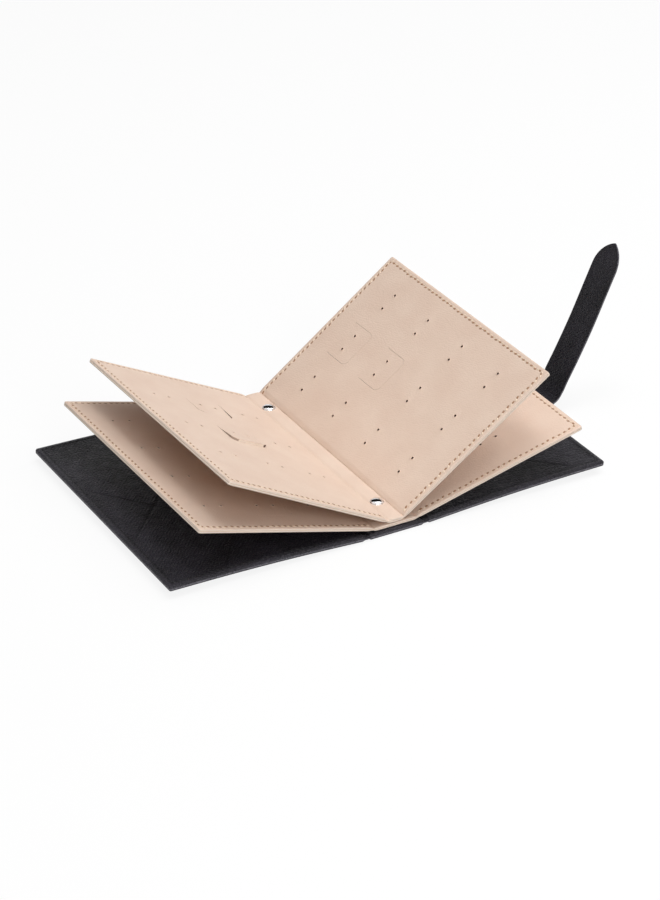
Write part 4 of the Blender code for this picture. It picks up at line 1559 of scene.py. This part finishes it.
@dataclass
class Keeper:
    """Loop on the outside of the front cover, which the strap's tongue reaches when the book is closed."""

    cover: CoverHalf
    inset: float = 25 * MM
    width: float = 11 * MM
    length: float = 31 * MM
    height: float = 3.4 * MM
    wall: float = 1.2 * MM
    sink: float = 0.2 * MM
    gap: float = 0.3 * MM
    hem: float = 1.7 * MM
    hem_start: float = 4 * MM
    turn: Point = (0.9 * MM, 0.5 * MM)
    turn_end: float = 3 * MM
    rim: Line = ((0, 0.45), (0.15 * MM, 0.2), (0.4 * MM, 0.05), (0.9 * MM, 0.0))

    def build(self, shop: Workshop) -> None:
        """Build the loop: a band that leaves the cover, runs across and comes back."""
        top = -self.cover.thickness_half + self.sink
        low = -self.cover.thickness_half - self.gap - self.height + self.wall / 2
        side = self.length / 2 - self.wall / 2
        wide, high = self.turn
        knots = [(-side, top), (-side, (top + low) / 2)]
        knots += [(-side + wide, low + high), (-side + self.turn_end, low)]
        knots += [(-side / 2, low), (side / 2, low)] + [(-y, z) for y, z in reversed(knots)]
        course = LoopCourse(knots, self.cover.course, self.cover.end - self.inset)
        end = course.runs[-1]
        plate = Plate(0.0, end, self.width / 2, end_free=False)

        def shape(run: float, y: float) -> float:
            return self.wall / 2 * (1 - along_table(self.rim, plate.inset(run, y)[0]))

        sheet = Sheet(
            plate=plate,
            course=course,
            upper=shape,
            rings=[value * MM for value in (0.15, 0.4, 0.9, 1.7, 3.0)],
            wall=((-0.05 * MM, 0.4), (-0.05 * MM, -0.4)),
            runs=steps(0.0, end, 0.8 * MM),
            rows=(0.0,),
        )
        piece = show("keeper_band", sheet.build(), shop.cover)
        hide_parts("keeper_loop")
        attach(report(piece, COVER_LEATHER.slot), self.cover.name)
        inner = self.width / 2 - self.hem
        lines = [[(self.hem_start, y), (end - self.hem_start, y)] for y in (-inner, inner)]
        sewn = shop.stitches.run(lines, shop.cover_thread, **KEEPER_STITCH)
        stitches = show("keeper_stitches", sheet.dress(sewn, Face.UPPER), shop.cover_thread)
        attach(report(stitches, COVER_LEATHER.slot), self.cover.name)


@dataclass
class RivetCaps:
    """Domed chrome caps, each with a rolled lip, pressed on to the inner gutter."""

    radius: float = 4.7 * MM
    lip: float = 0.45 * MM
    sink: float = 0.3 * MM
    dome_steps: int = 12
    turns: int = 56

    def profile(self, height: float) -> list[Point]:
        """Radius and height of the cap from its seat to its crown."""
        shoulder, seam, rest = self.radius - self.lip, self.radius - self.lip / 2, self.lip * 0.8
        line = [(0.0, 0.0), (seam, 0.0)]
        line += arc((seam, self.lip / 2), self.lip / 2, -60, 90, 6) + [(shoulder, rest)]
        for step in range(1, self.dome_steps + 1):
            angle = math.pi / 2 * step / self.dome_steps
            line.append((shoulder * math.cos(angle), rest + (height - rest) * math.sin(angle)))
        return line

    def cap(self, name: str, low: Vector, high: Vector) -> Mesh:
        """Turn the profile about the rivet's axis."""
        seat = low.z - self.sink
        line = self.profile(high.z - seat)
        centre = (low + high) / 2
        points = [Vector((centre.x, centre.y, seat)), Vector((centre.x, centre.y, high.z))]
        rings = []
        for radius, height in line[1:-1]:
            rings.append(len(points))
            for turn in range(self.turns):
                angle = math.tau * turn / self.turns
                x, y = centre.x + radius * math.cos(angle), centre.y + radius * math.sin(angle)
                points.append(Vector((x, y, seat + height)))
        faces = []
        for turn in range(self.turns):
            after = (turn + 1) % self.turns
            faces.append((0, rings[0] + after, rings[0] + turn))
            for low_ring, high_ring in zip(rings, rings[1:]):
                faces.append((low_ring + turn, low_ring + after, high_ring + after, high_ring + turn))
            faces.append((rings[-1] + turn, rings[-1] + after, 1))
        mesh = bpy.data.meshes.new(name)
        mesh.from_pydata(points, [], faces)
        return mesh

    def build(self, shop: Workshop) -> None:
        """Build both caps, and plate the posts under them."""
        for end in ("near", "far"):
            node = "rivet_cap_" + end
            piece = show("rivet_dome_" + end, self.cap(node, *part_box(node)), shop.chrome, sharp_deg=60)
            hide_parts(node)
            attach(report(piece, CHROME.slot), "spine")
            frame["nodes"]["rivet_post_" + end].data.materials[0] = shop.chrome


@dataclass
class InnerBoards:
    """Stiffeners that stay as packed: the spine's and the two gutters'."""

    names: Sequence[str] = ("spine_board", "outer_page_strip_board", "inner_page_strip_board")

    def build(self, shop: Workshop) -> None:
        """Give each its board finish."""
        for name in self.names:
            frame["nodes"][name].data.materials[0] = shop.board
            LOG.info("%s: board finish", name)


@dataclass(frozen=True)
class Lamp:
    """Square soft lamp that faces the book."""

    name: str
    place: Vector
    size: float
    watts: float

    def hang(self) -> None:
        """Add the lamp to the scene."""
        data = bpy.data.lights.new(self.name, "AREA")
        data.size = self.size
        data.energy = self.watts
        lamp = stand(self.name, data)
        lamp.location = self.place
        lamp.rotation_mode = "QUATERNION"
        lamp.rotation_quaternion = self.place.to_track_quat("Z", "Y")


LAMPS = (
    Lamp("key", Vector((0.9, -0.1, 1.5)), 1.0, 12),
    Lamp("front", Vector((-0.2, -1.6, 1.1)), 0.8, 9),
    Lamp("low", Vector((-1.0, -1.5, 0.28)), 0.5, 6),
    Lamp("top", Vector((0.0, 0.0, 1.9)), 0.5, 7),
)


@dataclass
class Studio:
    """Pale floor, soft lamps and the camera at the photograph's angle."""

    place: Vector = Vector((-0.7911, -1.2462, 0.8704))
    right: Vector = Vector((0.8539, -0.5189, 0.0403))
    up: Vector = Vector((0.2313, 0.4477, 0.8638))
    back: Vector = Vector((-0.4663, -0.7282, 0.5023))
    lens: float = 102.07
    sensor: float = 36.0
    floor_size: float = 12.0
    horizon: float = 0.06
    zenith: float = 1.10
    dome: Point = (0.6, 1.0)
    bounce: float = 0.40
    glow: float = 0.86
    flag_radius: float = 1.0
    flag_reach: Point = (0.25, 1.6)

    def camera(self) -> None:
        """Stand the camera where the photograph was taken from."""
        data = bpy.data.cameras.new("camera")
        data.lens = self.lens
        data.sensor_width = self.sensor
        data.clip_start = 0.05
        data.clip_end = 50
        camera = stand("camera", data)
        turn = Matrix((self.right, self.up, self.back)).transposed().to_4x4()
        camera.matrix_world = Matrix.Translation(self.place) @ turn
        bpy.context.scene.camera = camera

    def floor(self) -> None:
        """Lay a pale floor that shows white and keeps a soft shadow."""
        half = self.floor_size / 2
        mesh = bpy.data.meshes.new("floor")
        corners = [(-half, -half, 0), (half, -half, 0), (half, half, 0), (-half, half, 0)]
        mesh.from_pydata(corners, [], [(0, 1, 2, 3)])
        graph = Graph("pale_floor")
        where = graph.coordinates(Pattern.SPACE)
        seen = graph.seen()
        white = graph.add("Emission", {"Color": (1, 1, 1, 1), "Strength": 1.0})
        tone = graph.mix(graph.noise(where, 400.0), (0.90, 0.90, 0.90), (0.92, 0.92, 0.92))
        tone = graph.mix(seen, (self.bounce, self.bounce, self.bounce), tone)
        graph.feed(graph.shader, {"Base Color": tone, "Roughness": 0.9})
        share = graph.add("Math", {0: seen, 1: self.glow}, operation="MULTIPLY")
        blend = graph.add("MixShader", {0: share.outputs[0], 1: graph.shader.outputs[0], 2: white.outputs[0]})
        graph.feed(graph.tree.nodes["Material Output"], {"Surface": blend.outputs[0]})
        floor = show("floor", mesh, graph.material)

    def world(self) -> None:
        """White light that grows from the horizon to the zenith, and a white backdrop to the eye."""
        world = bpy.data.worlds.new("studio")
        world.use_nodes = True
        sky = ShaderNodes(world.node_tree)
        way = sky.add("SeparateXYZ", {0: sky.add("TexCoord").outputs["Generated"]})
        level = sky.between(way.outputs["Z"], *self.dome, self.horizon, self.zenith)
        strength = sky.add("Mix", {"Factor": sky.seen(), "A": level, "B": 1.0}).outputs["Result"]
        sky.feed(sky.tree.nodes["Background"], {"Color": (1, 1, 1, 1), "Strength": strength})
        bpy.context.scene.world = world

    def flag(self) -> None:
        """Hang a dark vault over the set, across the view, for polished metal to mirror."""
        view = Vector((-self.back.x, -self.back.y, 0)).normalized()
        across = Vector((view.y, -view.x, 0))
        ribs = arc((0, 0), self.flag_radius, 12, 168, 24)
        points = [view * reach + across * x + Vector((0, 0, z)) for reach in self.flag_reach for x, z in ribs]
        turns = len(ribs)
        mesh = bpy.data.meshes.new("flag")
        mesh.from_pydata(points, [], [(k, k + 1, turns + k + 1, turns + k) for k in range(turns - 1)])
        graph = Graph("black_flag")
        graph.feed(graph.shader, {"Base Color": (0.01, 0.01, 0.01, 1), "Roughness": 1.0})
        flag = show("flag", mesh, graph.material)
        flag.visible_camera = flag.visible_diffuse = flag.visible_shadow = flag.visible_transmission = False

    def build(self) -> None:
        """Set up the whole studio."""
        self.floor()
        self.flag()
        self.world()
        for lamp in LAMPS:
            lamp.hang()
        self.camera()
        bpy.context.scene.view_settings.view_transform = "Standard"


FRONT_LINES = (
    ((0.0, 0.12), (0.62, 1.0)), ((0.22, 0.0), (1.0, 0.66)),
    ((0.08, 1.0), (1.0, 0.30)), ((0.0, 0.70), (0.72, 0.0))
)
BACK_LINES = (
    ((0.0, 0.24), (0.70, 1.0)), ((0.30, 0.0), (1.0, 0.78)),
    ((0.10, 0.92), (1.0, 0.18)), ((0.0, 0.60), (0.86, 0.0))
)


def main() -> None:
    """Build the whole book in order: covers, strap, leaves, rivets and studio."""
    logging.basicConfig(level=logging.INFO, format="%(message)s")
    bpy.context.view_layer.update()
    shop = Workshop.open()
    front = CoverHalf("front_cover", Side.LEFT, "front_cover_hinge", 2.0, FRONT_LINES)
    back = CoverHalf("back_cover", Side.RIGHT, "back_cover_hinge", 2.0, BACK_LINES)
    leaf_1 = PageLeaf(
        "leaf_1", Side.LEFT, "leaf_1_fan", "outer_page_strip", 15.0, tab_columns=(2, 3), twist_deg=-0.5
    )
    leaf_2 = PageLeaf(
        "leaf_2",
        Side.LEFT,
        "leaf_2_fan",
        "inner_page_strip",
        26.7,
        rows=(0.195, 0.466, 0.760),
        columns=(0.247, 0.483, 0.720),
        gapes=((0.2 * MM, -0.9 * MM), (1.5 * MM, 1.9 * MM)),
        # Painted shade on the walls of the open tongues' slits, part by part
        slit_tones=(0.7, 0.9, 0.4, 0.6),
        twist_deg=-0.8,
    )
    leaf_3 = PageLeaf(
        "leaf_3", Side.RIGHT, "leaf_3_fan", "inner_page_strip", 37.0, turn_joint="leaf_3_turn", twist_deg=0.9
    )
    leaf_4 = PageLeaf(
        "leaf_4", Side.RIGHT, "leaf_4_fan", "outer_page_strip", 15.0, rows=(0.297, 0.588), twist_deg=0.8
    )
    leaves = (leaf_1, leaf_2, leaf_3, leaf_4)
    for part in (front, back, Strap(back), Keeper(front), *leaves, RivetCaps(), InnerBoards()):
        part.build(shop)
    Studio().build()


if __name__ == "__main__":
    main()
